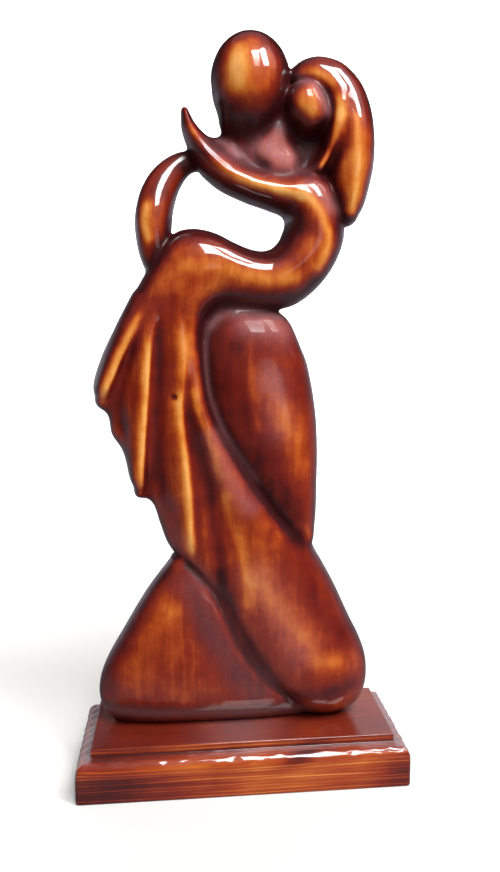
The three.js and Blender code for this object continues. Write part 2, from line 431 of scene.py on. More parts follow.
# Ridges and hollows of the gouge, in millimetres of height.
RELIEF = (
    # outer fold of her gown
    Stroke(
        2.7, 5,
        ((-49.5, 263.5), (-54, 252), (-59, 240.5), (-64.5, 229), (-68.5, 220), (-73, 210)),
        after=2.6, rise=22, fall=9,
    ),
    # second fold
    Stroke(
        3, 8,
        ((-44, 263.5), (-45.5, 250), (-47, 240.5), (-48.5, 226), (-50, 207), (-52, 183), (-53.5, 161)),
        after=2.2, rise=26, fall=9,
    ),
    # third fold
    Stroke(
        2.9, 7,
        ((-31, 263.5), (-30.5, 250), (-30, 235.5), (-31, 219.5), (-32, 207),
         (-31, 192.5), (-29.5, 178), (-28, 159), (-27.5, 140), (-26.5, 124)),
        after=2.6, rise=55, fall=16,
    ),
    # hollow between the first two folds
    Stroke(-1.2, 3, ((-53, 252), (-58, 235.5), (-61.5, 219.5), (-63.5, 205), (-61, 188.5)), rise=20, fall=8),
    # hollow between the second and third folds
    Stroke(
        -1.5, 3.8,
        ((-40, 257.5), (-41, 240.5), (-42.5, 216.5), (-44, 192.5), (-42.5, 165.5), (-38, 142.5)),
        rise=30, fall=20,
    ),
    # hollow between the third fold and the leg
    Stroke(
        -1.4, 4.5,
        ((-25.5, 215.5), (-22.5, 198), (-19.5, 179), (-16.5, 156), (-13, 133), (-10, 112), (-7, 97)),
        rise=25, fall=30,
    ),
    # gap between the two locks of her hair
    Stroke(-0.9, 3.5, ((54, 349.5), (51, 341), (48, 333), (45.5, 326.5)), rise=16),
    # his cheek
    Stroke(1.6, 13, ((6, 361), (7, 367))),
    # hollow under her face
    Stroke(-2.5, 6, ((31, 350), (36, 343), (41, 340))),
    # pit of a small knot
    Stroke(-0.9, 1.1, ((-35, 212.6), (-34.4, 212.4))),
    # seam between the legs
    Stroke(
        -1.1, 1.6,
        ((-33, 123.5), (-25.5, 116), (-15.5, 103.5), (-6, 84),
         (-1.5, 73.5), (10.5, 57), (18.5, 49), (35, 36)),
        rise=6, fall=6,
    ),
    # knob at his neck
    Stroke(1.2, 4.5, ((-5, 342.5), (-4, 341))),
)

# Where cloth and sandpaper thinned the stain, more than 0, or left it thick; some strokes, marked below, are
# painted shade.
RUBBING_AND_SHADE = (
    # his head
    Stroke(-0.34, 6, ((-12, 382), (-6, 392), (2, 397), (12, 397.5), (20, 392.5), (26, 383), (27.5, 370))),
    Stroke(0.19, 12, ((0, 376), (7, 371))),
    Stroke(0.3, 6, ((-2, 382), (-1.5, 367))),
    Stroke(-0.14, 5, ((15, 390), (23, 382), (25, 371))),
    # painted shade on the lower part of his head and under his chin
    Stroke(-0.22, 8, ((-12, 360), (1.5, 358), (14, 360.5), (24.5, 368))),
    Stroke(-0.3, 6, ((-8.5, 351), (5, 349), (18.5, 353), (25.5, 362.5))),
    # painted shade under the heads
    Stroke(-0.4, 7, ((26, 354), (32, 343), (42, 339.5))),
    Stroke(-0.2, 3, ((-12.5, 342), (-3, 334.5), (10.5, 329.5), (28, 327.5), (38, 328.5))),
    # her face
    Stroke(0.28, 8, ((30, 364), (34, 357))),
    Stroke(0.14, 4, ((28, 364), (29, 360))),
    Stroke(-0.2, 4, ((43.5, 366), (44, 358), (40.5, 351))),
    # painted shade under her face
    Stroke(-0.24, 5, ((30, 348.5), (38, 346.5), (43.5, 349))),
    # her hair
    Stroke(0.26, 4, ((29, 376), (36, 376.5), (43, 373), (48.5, 366), (51, 356))),
    Stroke(-0.28, 4.5, ((31, 380), (41.5, 382), (53, 377), (61.5, 367.5), (66.5, 355))),
    Stroke(0.24, 2, ((59, 353), (60, 336), (60, 321.5), (59, 308.5))),
    Stroke(0.1, 7, ((62, 351.5), (63, 338), (61.5, 318))),
    Stroke(0.08, 3, ((53, 351.5), (53.5, 336), (53, 321.5), (52, 309))),
    Stroke(-0.06, 3, ((54.5, 343), (52, 337), (49.5, 330.5), (48, 324.5))),
    Stroke(0.3, 4.6, ((49, 354), (47.8, 345), (45, 337), (41.5, 330))),
    Stroke(-0.3, 5, ((60, 301.5), (53, 299.5))),
    # her raised arm
    Stroke(
        0.38, 2.8,
        ((-29, 352), (-27.3, 344), (-24.3, 337), (-17.3, 330.5), (-9, 325),
         (3.5, 321), (17.5, 318), (30, 314.5)), rise=12,
    ),
    # underside of her arm: stain, deepened by painted shade
    Stroke(-0.42, 6, ((-23, 330), (-6, 318), (8, 312), (22.5, 306), (33, 300))),
    Stroke(-0.25, 4, ((-28, 358.5), (-26, 353.5))),
    # her shoulder and back
    Stroke(0.32, 3, ((33, 316), (39, 310), (43.5, 301.5), (46, 295), (45, 286.5), (41.5, 279.5))),
    Stroke(0.14, 5, ((35, 299.5), (35, 288))),
    Stroke(-0.2, 4, ((51, 310), (53, 296), (49.5, 282.5), (40.5, 271))),
    Stroke(-0.3, 4.5, ((25.5, 303.5), (25.5, 290), (16, 284.5), (3.5, 287), (-13, 295), (-30, 295))),
    # her hip
    Stroke(0.22, 4.5, ((-26.5, 279.5), (-16, 279.5), (-6, 277.5), (4.5, 275), (16, 273), (27.5, 274))),
    Stroke(0.12, 8, ((-38, 275), (-26.5, 267), (-15, 270))),
    Stroke(-0.1, 6, ((-38, 263), (-39, 250))),
    Stroke(0.12, 2.5, ((-24.5, 258), (-25, 247), (-25.5, 236))),
    Stroke(-0.26, 3.5, ((-20.5, 240), (-18.5, 250), (-14, 257), (-7, 261))),
    # underside of her waist: stain, deepened by painted shade
    Stroke(-0.36, 4.5, ((-16, 257.5), (-10, 262.5), (0.5, 263.5), (13, 263.5), (27.5, 263.5), (39, 269))),
    Stroke(-0.25, 4, ((-39.5, 289), (-49.5, 270), (-59, 252), (-67.5, 234.5), (-75, 217.5))),
    # his arm
    Stroke(0.3, 2.8, ((-47.5, 310), (-49.5, 302), (-47, 294.5))),
    Stroke(-0.3, 7, ((-18, 336.5), (-30, 334.5), (-38, 328), (-43, 320))),
    Stroke(-0.08, 4, ((-38, 318), (-38.5, 300), (-39, 286))),
    Stroke(-0.15, 5, ((-45.5, 288), (-43.5, 279.5))),
    # her gown
    Stroke(
        0.38, 3.4,
        ((-49.5, 263.5), (-54, 252), (-59, 241.5),
         (-64.5, 229), (-68.5, 220), (-71.5, 214.5)), after=2.6, rise=20,
    ),
    Stroke(0.1, 4, ((-46.5, 236), (-48.5, 210), (-50.5, 180))),
    Stroke(0.02, 3.5, ((-53, 250), (-57, 236.5), (-61, 223), (-63.5, 211.5), (-62.5, 200), (-60, 189.5))),
    Stroke(-0.08, 3, ((-52.5, 250), (-53.5, 235.5), (-54.5, 219.5), (-55.5, 202), (-56, 183))),
    Stroke(
        0.3, 2.6,
        ((-46, 250), (-47, 240.5), (-48.5, 226),
         (-49.5, 209.5), (-51, 192.5), (-52.5, 168.5)), after=1.8, rise=22,
    ),
    Stroke(
        -0.08, 4,
        ((-40.5, 255.5), (-41.5, 236.5), (-42.5, 216.5),
         (-44, 192.5), (-43, 168.5), (-39.5, 149.5)), rise=30,
    ),
    Stroke(0.26, 5, ((-33, 261.5), (-31, 242), (-30, 227)), after=4, rise=20),
    Stroke(
        0.34, 3,
        ((-32, 222), (-32, 202), (-30.5, 190.5), (-29, 175.5),
         (-28, 159), (-27.5, 142.5), (-27, 129.5)), after=2.2, rise=10,
    ),
    Stroke(
        -0.14, 4,
        ((-23.5, 208), (-21.5, 192.5), (-19, 173.5), (-16.5, 154), (-13, 135), (-10, 116), (-7, 99.5)),
    ),
    # a small knot fallen out of the third fold
    Stroke(-0.6, 1.2, ((-35, 212.6), (-34.4, 212.4))),
    # her kneeling leg
    Stroke(0.24, 3.6, ((-25, 213.5), (-22.5, 202), (-19, 188.5), (-15, 175.5), (-11, 164)), fall=14),
    Stroke(
        0.26, 2.6,
        ((-9, 158), (-6, 146.5), (-2.5, 135), (0.5, 123.5), (2.5, 111), (3.5, 98.5)), after=4,
    ),
    Stroke(0.14, 8, ((8, 133), (13, 121.5))),
    Stroke(0.22, 8, ((10, 110), (21.5, 95), (31, 79.5))),
    Stroke(-0.16, 5.5, ((29, 131), (37, 110), (46.5, 91), (58, 74))),
    Stroke(0.24, 6, ((39.5, 66), (50, 63.5))),
    # underside of her knee: stain, deepened by painted shade
    Stroke(-0.3, 6, ((33, 43), (46.5, 45), (61.5, 49))),
    # painted shade beside the seam between the legs
    Stroke(-0.3, 4, ((-12, 114), (-8, 98.5), (-2.5, 83.5), (6, 68), (16.5, 54.5), (28, 44))),
    # the hollow beside her leg
    Stroke(
        -0.2, 3.2,
        ((-19.5, 244), (-19, 226), (-16.5, 208), (-10, 192.5),
         (0.5, 175.5), (11, 159), (23.5, 143.5), (35, 132)),
    ),
    # his thigh
    Stroke(-0.19, 12, ((4, 243), (4, 220), (9, 198), (17, 177), (28, 156))),
    Stroke(-0.13, 8, ((-10, 246), (-11, 227), (-6, 202), (2.5, 183), (12, 165.5))),
    Stroke(0.2, 2.6, ((4.5, 238.5), (5.5, 223), (6.5, 209.5), (9, 196.5))),
    Stroke(0.16, 7, ((23, 203), (27, 188), (30, 171.5))),
    Stroke(-0.16, 8, ((27, 236), (31, 222), (33, 210))),
    Stroke(0.18, 7, ((11, 222), (15, 210), (18, 197))),
    Stroke(-0.12, 7, ((19.5, 156), (31, 146.5))),
    # his standing leg
    Stroke(0.13, 9, ((-43.5, 98.5), (-53, 77.5), (-59, 62.5))),
    Stroke(0.1, 6, ((-36, 93), (-38, 74))),
    Stroke(-0.24, 6, ((-42.5, 114), (-59, 89), (-71.5, 66), (-75, 53.5))),
    # painted shade beside the seam between the legs
    Stroke(-0.28, 9, ((-28, 110), (-19, 90), (-8, 68), (8, 50))),
    # underside of the foot: stain, deepened by painted shade
    Stroke(-0.42, 5, ((-72.5, 38), (-40, 36.5), (-1, 35.5), (31.5, 34))),
)

# Where dust lies on the varnish, and a painted lilac sheen for soft reflections, from 0 to 1.
DUST_AND_SHEEN = (
    # flat facet under the heads, and the shelf along her arm
    Stroke(0.62, 5, ((11, 339), (17, 336.5), (25, 335))),
    Stroke(0.3, 3.5, ((16, 342), (20, 346), (22, 349))),
    Stroke(0.13, 4, ((-16, 341), (-8, 336.5), (3, 332.5), (16, 329.5), (30, 328.5), (38, 329))),
    # painted highlight on the knob at his neck
    Stroke(0.45, 2.4, ((-9, 344), (-5, 341.5), (-1, 337.5))),
    # painted sheen on top of her shoulder
    Stroke(0.35, 4, ((36, 319), (43, 316), (47, 310))),
    # painted sheen on top of his thigh
    Stroke(0.25, 2.6, ((-14, 250), (-8, 255), (5, 256.5), (21, 254))),
    Stroke(0.3, 7, ((4, 250), (13, 249), (22, 247))),
    # painted sheen on her face
    Stroke(0.42, 3, ((32, 372.5), (37, 370), (41.5, 365), (44, 358))),
    # painted sheen and reflections on the legs
    Stroke(0.24, 10, ((9, 112), (20, 92), (31, 72))),
    Stroke(
        0.18, 1.5,
        ((-9, 256.5), (-14.5, 250), (-17.3, 241), (-17.5, 225),
         (-15, 211), (-9, 195.6), (1.5, 178), (12, 162)), rise=4, fall=10,
    ),
    Stroke(0.3, 5, ((-19, 198), (-11, 178), (-2, 160), (10, 146)), rise=8, fall=10),
    Stroke(0.2, 8, ((16, 218), (20, 196))),
    Stroke(0.15, 9, ((-26, 106), (-16, 84), (-4, 62), (8, 48))),
    Stroke(0.32, 4, ((-70, 37), (-40, 35), (0, 34), (34, 33))),
)

# Where the varnish sank in and has no gloss, from 0 to 1.
DULL = (
    # under the heads
    Stroke(0.98, 8, ((-7, 343), (6, 339), (20, 340), (34, 342))),
    Stroke(0.98, 7, ((14, 362), (16, 356), (18, 349))),
    Stroke(0.98, 4, ((-6, 334), (3, 330.5), (16, 328), (30, 327), (40, 330))),
    # upper half of her hand
    Stroke(0.95, 4, ((-26, 358), (-25, 351), (-21.5, 344.5))),
    # upper side of her face
    Stroke(0.8, 4, ((34, 370), (38, 366.5), (41, 362))),
    # crest of her kneeling leg
    Stroke(
        0.94, 2.8,
        ((-15, 188), (-10.3, 179), (-6.7, 173), (-2.5, 166), (2.3, 157.6), (8.2, 148), (19, 134)),
    ),
    # top of his thigh, and the groove beside it
    Stroke(0.88, 7, ((0, 251), (12, 250), (24, 248))),
    Stroke(0.7, 4, ((-18, 240), (-16, 215), (-8, 192), (4, 170), (18, 150), (33, 135))),
)


@dataclass(frozen=True)
class CarvedForm:
    """A flowing form, lofted through stations, with superellipse sections and rounded ends.

    Attributes:
        stations: Rows of edge, other edge and half depth, in millimetres.
        sections: Rows of station number, roundness and crest, followed smoothly from one to the next.
            Roundness is the section's exponent, 2 for an ellipse, more for a squarer one and less for a
            ridge. The crest is where the section stands proudest, 0 in the middle and 1 at the other edge.
        middle: Y of the form's middle.
        start_cap: How far the first end is rounded out.
        end_cap: How far the last end is rounded out.
        blend: Width of the soft groove where it meets its neighbours.
    """

    stations: tuple
    sections: tuple = ((0, 2.0, 0.0),)
    middle: float = 4.0
    start_cap: float = 0.6
    end_cap: float = 0.6
    blend: float = 2.0

    SAMPLES = 16
    # Every so many samples one is tried as a start for chart().
    COARSE = 4
    # How far around its edges the form's field is worked out.
    REACH = 16.0
    # Most by which a narrowing form may speed up a change across it.
    STEEPEST = 2.5

    def rail(self) -> np.ndarray:
        """Gives the form's centre, half width and half depth at close steps along it.

        Returns:
            Rows of centre x, z, half width x, z, half depth, roundness and crest.
        """
        rows = np.array(self.stations, float)
        one, other = rows[:, :2], rows[:, 2:4]
        path = smooth_path(np.column_stack([(one + other) / 2, (other - one) / 2, rows[:, 4]]), self.SAMPLES)
        keys = np.array(self.sections, float)
        at = np.arange(len(path)) / self.SAMPLES
        extra = [np.interp(at, keys[:, 0], keys[:, i]) for i in (1, 2)]
        return np.column_stack([path, *extra])

    def chart(self, x: np.ndarray, z: np.ndarray) -> dict[str, np.ndarray]:
        """Finds where places on the front plane lie within the form.

        Args:
            x: X of each place, in millimetres.
            z: Z of each place.

        Returns:
            For each place: how far across the form (1 at an edge), how far past an end (1 at the cap's
            tip), half depth, and how fast each of them changes with a millimetre.
        """
        rail = self.rail()
        slope = np.gradient(rail, axis=0)
        last = len(rail) - 1.0
        at, across = self._nearest(rail, x, z)
        for _ in range(6):
            here, turn = self._between(rail, at), self._between(slope, at)
            along = turn[:2] + across * turn[2:4]
            miss = np.array([x, z]) - here[:2] - across * here[2:4]
            area = along[0] * here[3] - along[1] * here[2]
            area = np.where(np.abs(area) < 1e-6, 1e-6, area)
            step = (miss[0] * here[3] - miss[1] * here[2]) / area
            shift = (along[0] * miss[1] - along[1] * miss[0]) / area
            at = np.clip(at + np.clip(step, -8, 8), 0, last)
            across = np.clip(across + np.clip(shift, -0.7, 0.7), -4, 4)
        here, turn = self._between(rail, at), self._between(slope, at)
        along = turn[:2] + across * turn[2:4]
        half = np.hypot(here[2], here[3])
        miss = np.array([x, z]) - here[:2] - across * here[2:4]
        area = np.maximum(np.abs(along[0] * here[3] - along[1] * here[2]), 1e-6)
        ended = (at <= 0) | (at >= last)
        offset = np.array([x, z]) - here[:2]
        across = np.where(ended, (offset[0] * here[2] + offset[1] * here[3]) / half**2, across)
        normal = np.array([here[3], -here[2]]) / half
        way = np.sign(normal[0] * turn[0] + normal[1] * turn[1]) * np.where(at <= 0, -1, 1)
        beyond = np.maximum(0, way * (normal[0] * offset[0] + normal[1] * offset[1]))
        cap = np.where(at <= 0, self.start_cap, self.end_cap)
        flank = 1 - np.sign(across - here[6]) * here[6]
        across_rate = np.minimum(np.hypot(along[0], along[1]) / area, self.STEEPEST / half)
        across_rate = np.where(ended, 1 / half, across_rate)
        steepness = np.minimum(np.abs(turn[4]) * half / area, 1)
        return {
            "across": np.abs(across - here[6]) / flank,
            "beyond": np.where(ended, beyond / cap, np.hypot(miss[0], miss[1]) / 4),
            "depth": here[4],
            "roundness": here[5],
            "across_rate": across_rate / flank,
            "beyond_rate": 1 / cap,
            "depth_rate": np.where(ended, 0, steepness / here[4]),
        }

    def distance(self, chart: dict[str, np.ndarray], y: np.ndarray) -> np.ndarray:
        """Gives about how far places are from the form's surface, less than 0 inside it.

        Args:
            chart: What chart() gave for the places' X and Z.
            y: Y of the places, which broadcasts against the chart.

        Returns:
            Distances in millimetres.
        """
        n = chart["roundness"]
        deep = np.abs(y - self.middle) / chart["depth"]
        reach = (chart["across"] ** n + chart["beyond"] ** n + deep**n) ** (1 / n)
        reach = np.maximum(reach, 1e-3)
        rate = reach ** (1 - n) * np.sqrt(
            (chart["across"] ** (n - 1) * chart["across_rate"]) ** 2
            + (chart["beyond"] ** (n - 1) * chart["beyond_rate"]) ** 2
            + (deep ** (n - 1) / chart["depth"]) ** 2
            + (deep**n * chart["depth_rate"]) ** 2
        )
        least = np.maximum((chart["across"] - 1) / chart["across_rate"], (deep - 1) * chart["depth"])
        return np.maximum((reach - 1) / np.maximum(rate, 0.02), least)

    def _nearest(self, rail: np.ndarray, x: np.ndarray, z: np.ndarray) -> tuple[np.ndarray, np.ndarray]:
        """Picks each place's nearest among coarse samples of the form, as a start for chart().

        Args:
            rail: What rail() gave.
            x: X of each place, in millimetres.
            z: Z of each place.

        Returns:
            For each place, the rail's row and how far across the form it lies.
        """
        steps = np.arange(0, len(rail), self.COARSE)
        sides = np.linspace(-1.5, 1.5, 11)
        at, across = (g.ravel() for g in np.meshgrid(steps, sides, indexing="ij"))
        px = rail[at, 0] + across * rail[at, 2]
        pz = rail[at, 1] + across * rail[at, 3]
        extra = (3 * np.maximum(0, np.abs(across) - 1)) ** 2
        best = np.empty(len(x), int)
        for i in range(0, len(x), 4096):
            part = slice(i, i + 4096)
            far = (x[part, None] - px) ** 2 + (z[part, None] - pz) ** 2 + extra
            best[part] = far.argmin(axis=1)
        return at[best].astype(float), across[best]

    @staticmethod
    def _between(table: np.ndarray, at: np.ndarray) -> np.ndarray:
        """Reads a table between its rows.

        Args:
            table: The table.
            at: Row numbers with a fraction, one a place.

        Returns:
            One row for each of the table's columns, with one value a place.
        """
        low = np.minimum(at.astype(int), len(table) - 2)
        part = (at - low)[:, None]
        return (table[low] * (1 - part) + table[low + 1] * part).T


@dataclass
class CarvedBlock:
    """The wood of the figure as a field of distances on a grid, from which its surface is taken.

    Attributes:
        forms: The carved forms, in the order in which they are joined.
        strokes: Ridges and hollows cut on the front, and more weakly on the back.
        step: Grid spacing in millimetres.
        floor: Height at which the wood is sawn off flat.
        low: Lowest corner of the grid.
        field: Distance from the wood's surface at each grid point, less than 0 inside it.
    """

    forms: tuple[CarvedForm, ...]
    strokes: tuple[Stroke, ...] = ()
    step: float = 1.22
    floor: float = FIGURE_BOTTOM
    low: np.ndarray = field(init=False)
    field: np.ndarray = field(init=False)

    # Free space kept around the forms.
    MARGIN = 5.0
    # Distance given to grid points that no form reaches.
    FAR = 30.0
    # Strokes fade out this close to the middle plane, and are this weak on the back.
    CORE = (2.0, 9.0)
    BACK_SHARE = 0.7

    def __post_init__(self) -> None:
        """Lays out the grid around all forms."""
        rows = [np.array(form.stations, float) for form in self.forms]
        edges = np.vstack([row[:, i : i + 2] for row in rows for i in (0, 2)])
        caps = max(max(form.start_cap, form.end_cap) for form in self.forms)
        deep = max(row[:, 4].max() for row in rows) + self.MARGIN
        middle = self.forms[0].middle
        self.low = np.array([edges[:, 0].min() - self.MARGIN, middle - deep, self.floor - 3.1])
        high = np.array([edges[:, 0].max() + self.MARGIN, middle + deep, edges[:, 1].max() + caps + 3])
        self.field = np.full(np.ceil((high - self.low) / self.step).astype(int) + 1, self.FAR)

    def axes(self) -> list[np.ndarray]:
        """Gives the grid's X, Y and Z values."""
        return [self.low[i] + self.step * np.arange(self.field.shape[i]) for i in range(3)]

    def carve(self) -> None:
        """Joins the forms one after the other, cuts the strokes, then saws the foot flat."""
        xs, ys, zs = self.axes()
        for form in self.forms:
            rail = form.rail()
            edges = np.vstack([rail[:, :2] - rail[:, 2:4], rail[:, :2] + rail[:, 2:4]])
            margin = form.REACH + max(form.start_cap, form.end_cap)
            lo, hi = edges.min(0) - margin, edges.max(0) + margin
            pick_x = np.flatnonzero((xs > lo[0]) & (xs < hi[0]))
            pick_z = np.flatnonzero((zs > lo[1]) & (zs < hi[1]))
            gx, gz = (g.ravel() for g in np.meshgrid(xs[pick_x], zs[pick_z], indexing="ij"))
            shape = (len(pick_x), 1, len(pick_z))
            chart = {k: np.broadcast_to(v, gx.shape).reshape(shape) for k, v in form.chart(gx, gz).items()}
            far = form.distance(chart, ys[None, :, None])
            box = (slice(pick_x[0], pick_x[-1] + 1), slice(None), slice(pick_z[0], pick_z[-1] + 1))
            near = np.maximum(form.blend - np.abs(self.field[box] - far), 0) / form.blend
            self.field[box] = np.minimum(self.field[box], far) - near**2 * form.blend / 4
        gx, gz = (g.ravel() for g in np.meshgrid(xs, zs, indexing="ij"))
        height = laid(self.strokes, gx, gz).reshape(len(xs), 1, len(zs))
        out = ys - self.forms[0].middle
        gate = smooth_step(*self.CORE, np.abs(out)) * np.where(out < 0, 1, self.BACK_SHARE)
        self.field -= height * gate[None, :, None]
        self.field = np.maximum(self.field, self.floor - zs[None, None, :])

    def softened(self, width: float) -> np.ndarray:
        """Blurs the field, which then differs from it where the surface bends.

        Args:
            width: Standard deviation of the blur in millimetres.

        Returns:
            The blurred field, on the same grid.
        """
        cells = width / self.step
        reach = int(3 * cells)
        weights = np.exp(-0.5 * (np.arange(-reach, reach + 1) / cells) ** 2)
        soft = self.field.astype(np.float32)
        for axis in range(3):
            pad = [(reach, reach) if i == axis else (0, 0) for i in range(3)]
            wide = np.pad(soft, pad, "edge")
            size = soft.shape[axis]
            shifted = (np.take(wide, range(i, i + size), axis) for i in range(len(weights)))
            soft = sum(w * part for w, part in zip(weights / weights.sum(), shifted))
        return soft

    def sample(self, points: np.ndarray, values: np.ndarray | None = None) -> np.ndarray:
        """Reads the field between grid points.

        Args:
            points: Places in millimetres, one a row.
            values: Another field on the same grid to read instead.

        Returns:
            Distance from the wood's surface at each place, less than 0 inside it.
        """
        scaled = (points - self.low) / self.step
        low = np.clip(np.floor(scaled).astype(int), 0, np.array(self.field.shape) - 2)
        part = np.clip(scaled - low, 0, 1)
        total = np.zeros(len(points))
        values = self.field if values is None else values
        for corner in np.ndindex(2, 2, 2):
            weight = np.prod(np.where(corner, part, 1 - part), axis=1)
            x, y, z = (low + corner).T
            total += weight * values[x, y, z]
        return total

    def surface(self) -> tuple[np.ndarray, np.ndarray]:
        """Takes the closed surface out of the field as quads.

        Returns:
            Vertex places in millimetres, and four vertex numbers a face, with the faces pointing out.
        """
        wood = self.field
        inside = wood < 0
        cells = tuple(n - 1 for n in wood.shape)
        total, count = np.zeros((*cells, 3)), np.zeros(cells)
        for axis in range(3):
            others = [i for i in range(3) if i != axis]
            for corner in np.ndindex(2, 2):
                start = [0, 0, 0]
                start[others[0]], start[others[1]] = corner
                near = tuple(slice(s, s + n) for s, n in zip(start, cells))
                end = list(start)
                end[axis] = 1
                far = tuple(slice(s, s + n) for s, n in zip(end, cells))
                crossed = inside[near] != inside[far]
                part = np.where(crossed, wood[near] / np.where(crossed, wood[near] - wood[far], 1), 0)
                for i in range(3):
                    total[..., i] += crossed * (part if i == axis else start[i])
                count += crossed
        used = count > 0
        number = np.full(cells, -1)
        number[used] = np.arange(used.sum())
        places = np.argwhere(used) + total[used] / count[used][:, None]
        faces = [self._faces_across(inside, number, axis) for axis in range(3)]
        return self.low + places * self.step, np.vstack(faces)

    @staticmethod
    def _faces_across(inside: np.ndarray, number: np.ndarray, axis: int) -> np.ndarray:
        """Gives the quads round the grid edges that run along an axis and cross the surface.

        Args:
            inside: Whether each grid point lies in the wood.
            number: Each cell's vertex number.
            axis: The axis, from 0 to 2.

        Returns:
            Four vertex numbers a face.
        """
        a, b = [(1, 2), (2, 0), (0, 1)][axis]
        near = np.take(inside, range(inside.shape[axis] - 1), axis)
        far = np.take(inside, range(1, inside.shape[axis]), axis)
        edges = np.argwhere(near != far)
        edges = edges[(edges[:, a] > 0) & (edges[:, b] > 0)]
        edges = edges[(edges[:, a] < number.shape[a]) & (edges[:, b] < number.shape[b])]
        leaving = inside[tuple(edges.T)]
        ring = []
        for da, db in ((1, 1), (0, 1), (0, 0), (1, 0)):
            cell = edges.copy()
            cell[:, a] -= da
            cell[:, b] -= db
            ring.append(number[tuple(cell.T)])
        quads = np.column_stack(ring)
        return np.where(leaving[:, None], quads, quads[:, ::-1])


def vertex_normals(places: np.ndarray, quads: np.ndarray) -> np.ndarray:
    """Averages the faces' normals at each vertex.

    Args:
        places: Vertex places, one a row.
        quads: Four vertex numbers a face.

    Returns:
        Unit normals, one a row.
    """
    a, b, c, d = (places[quads[:, i]] for i in range(4))
    face = np.cross(c - a, d - b)
    total = np.zeros_like(places)
    for i in range(4):
        for axis in range(3):
            total[:, axis] += np.bincount(quads[:, i], face[:, axis], len(places))
    return total / np.maximum(np.linalg.norm(total, axis=1, keepdims=True), 1e-9)


def relax(places: np.ndarray, quads: np.ndarray, strength: float) -> np.ndarray:
    """Moves each vertex towards the middle of its neighbours.

    Args:
        places: Vertex places, one a row.
        quads: Four vertex numbers a face.
        strength: Share of the way to go.

    Returns:
        The new places.
    """
    total, count = np.zeros_like(places), np.zeros(len(places))
    for i in range(4):
        here, there = quads[:, i], quads[:, (i + 1) % 4]
        for one, other in ((here, there), (there, here)):
            count += np.bincount(one, minlength=len(places))
            for axis in range(3):
                total[:, axis] += np.bincount(one, places[other, axis], len(places))
    return places + strength * (total / count[:, None] - places)


def make_piece(
    name: str, places: np.ndarray, faces: list, marks: dict[str, np.ndarray]
) -> bpy.types.Object:
    """Makes a smooth-shaded mesh object at the frame's origin.

    Args:
        name: Name of the object.
        places: Vertex places in millimetres.
        faces: Vertex numbers of each face.
        marks: Values kept on the vertices, by name.

    Returns:
        The object, linked to the scene.
    """
    mesh = bpy.data.meshes.new(name)
    mesh.from_pydata((places * MM).tolist(), [], faces)
    for mark, values in marks.items():
        mesh.attributes.new(mark, "FLOAT", "POINT").data.foreach_set("value", values.astype(np.float32))
    mesh.shade_smooth()
    mesh.update()
    piece = bpy.data.objects.new(name, mesh)
    bpy.context.scene.collection.objects.link(piece)
    return piece


@dataclass(frozen=True)
class Patch:
    """A soft-edged spot where the stain was rubbed off or left thick, seen from the front.

    Attributes:
        x: Middle across, in millimetres.
        z: Middle height.
        wide: Half width along its own direction.
        tall: Half width across it.
        turn: Turn of its direction from X, in degrees.
        amount: What it adds to the stain value, more than 0 where lighter.
    """

    x: float
    z: float
    wide: float
    tall: float
    turn: float
    amount: float

    def weight(self, places: np.ndarray) -> np.ndarray:
        """Works out what the patch adds.

        Args:
            places: Places in millimetres, one a row.

        Returns:
            One value a place.
        """
        angle = math.radians(self.turn)
        dx, dz = places[:, 0] - self.x, places[:, 2] - self.z
        along = (dx * math.cos(angle) + dz * math.sin(angle)) / self.wide
        across = (-dx * math.sin(angle) + dz * math.cos(angle)) / self.tall
        return self.amount * np.exp(-(along**2 + across**2))


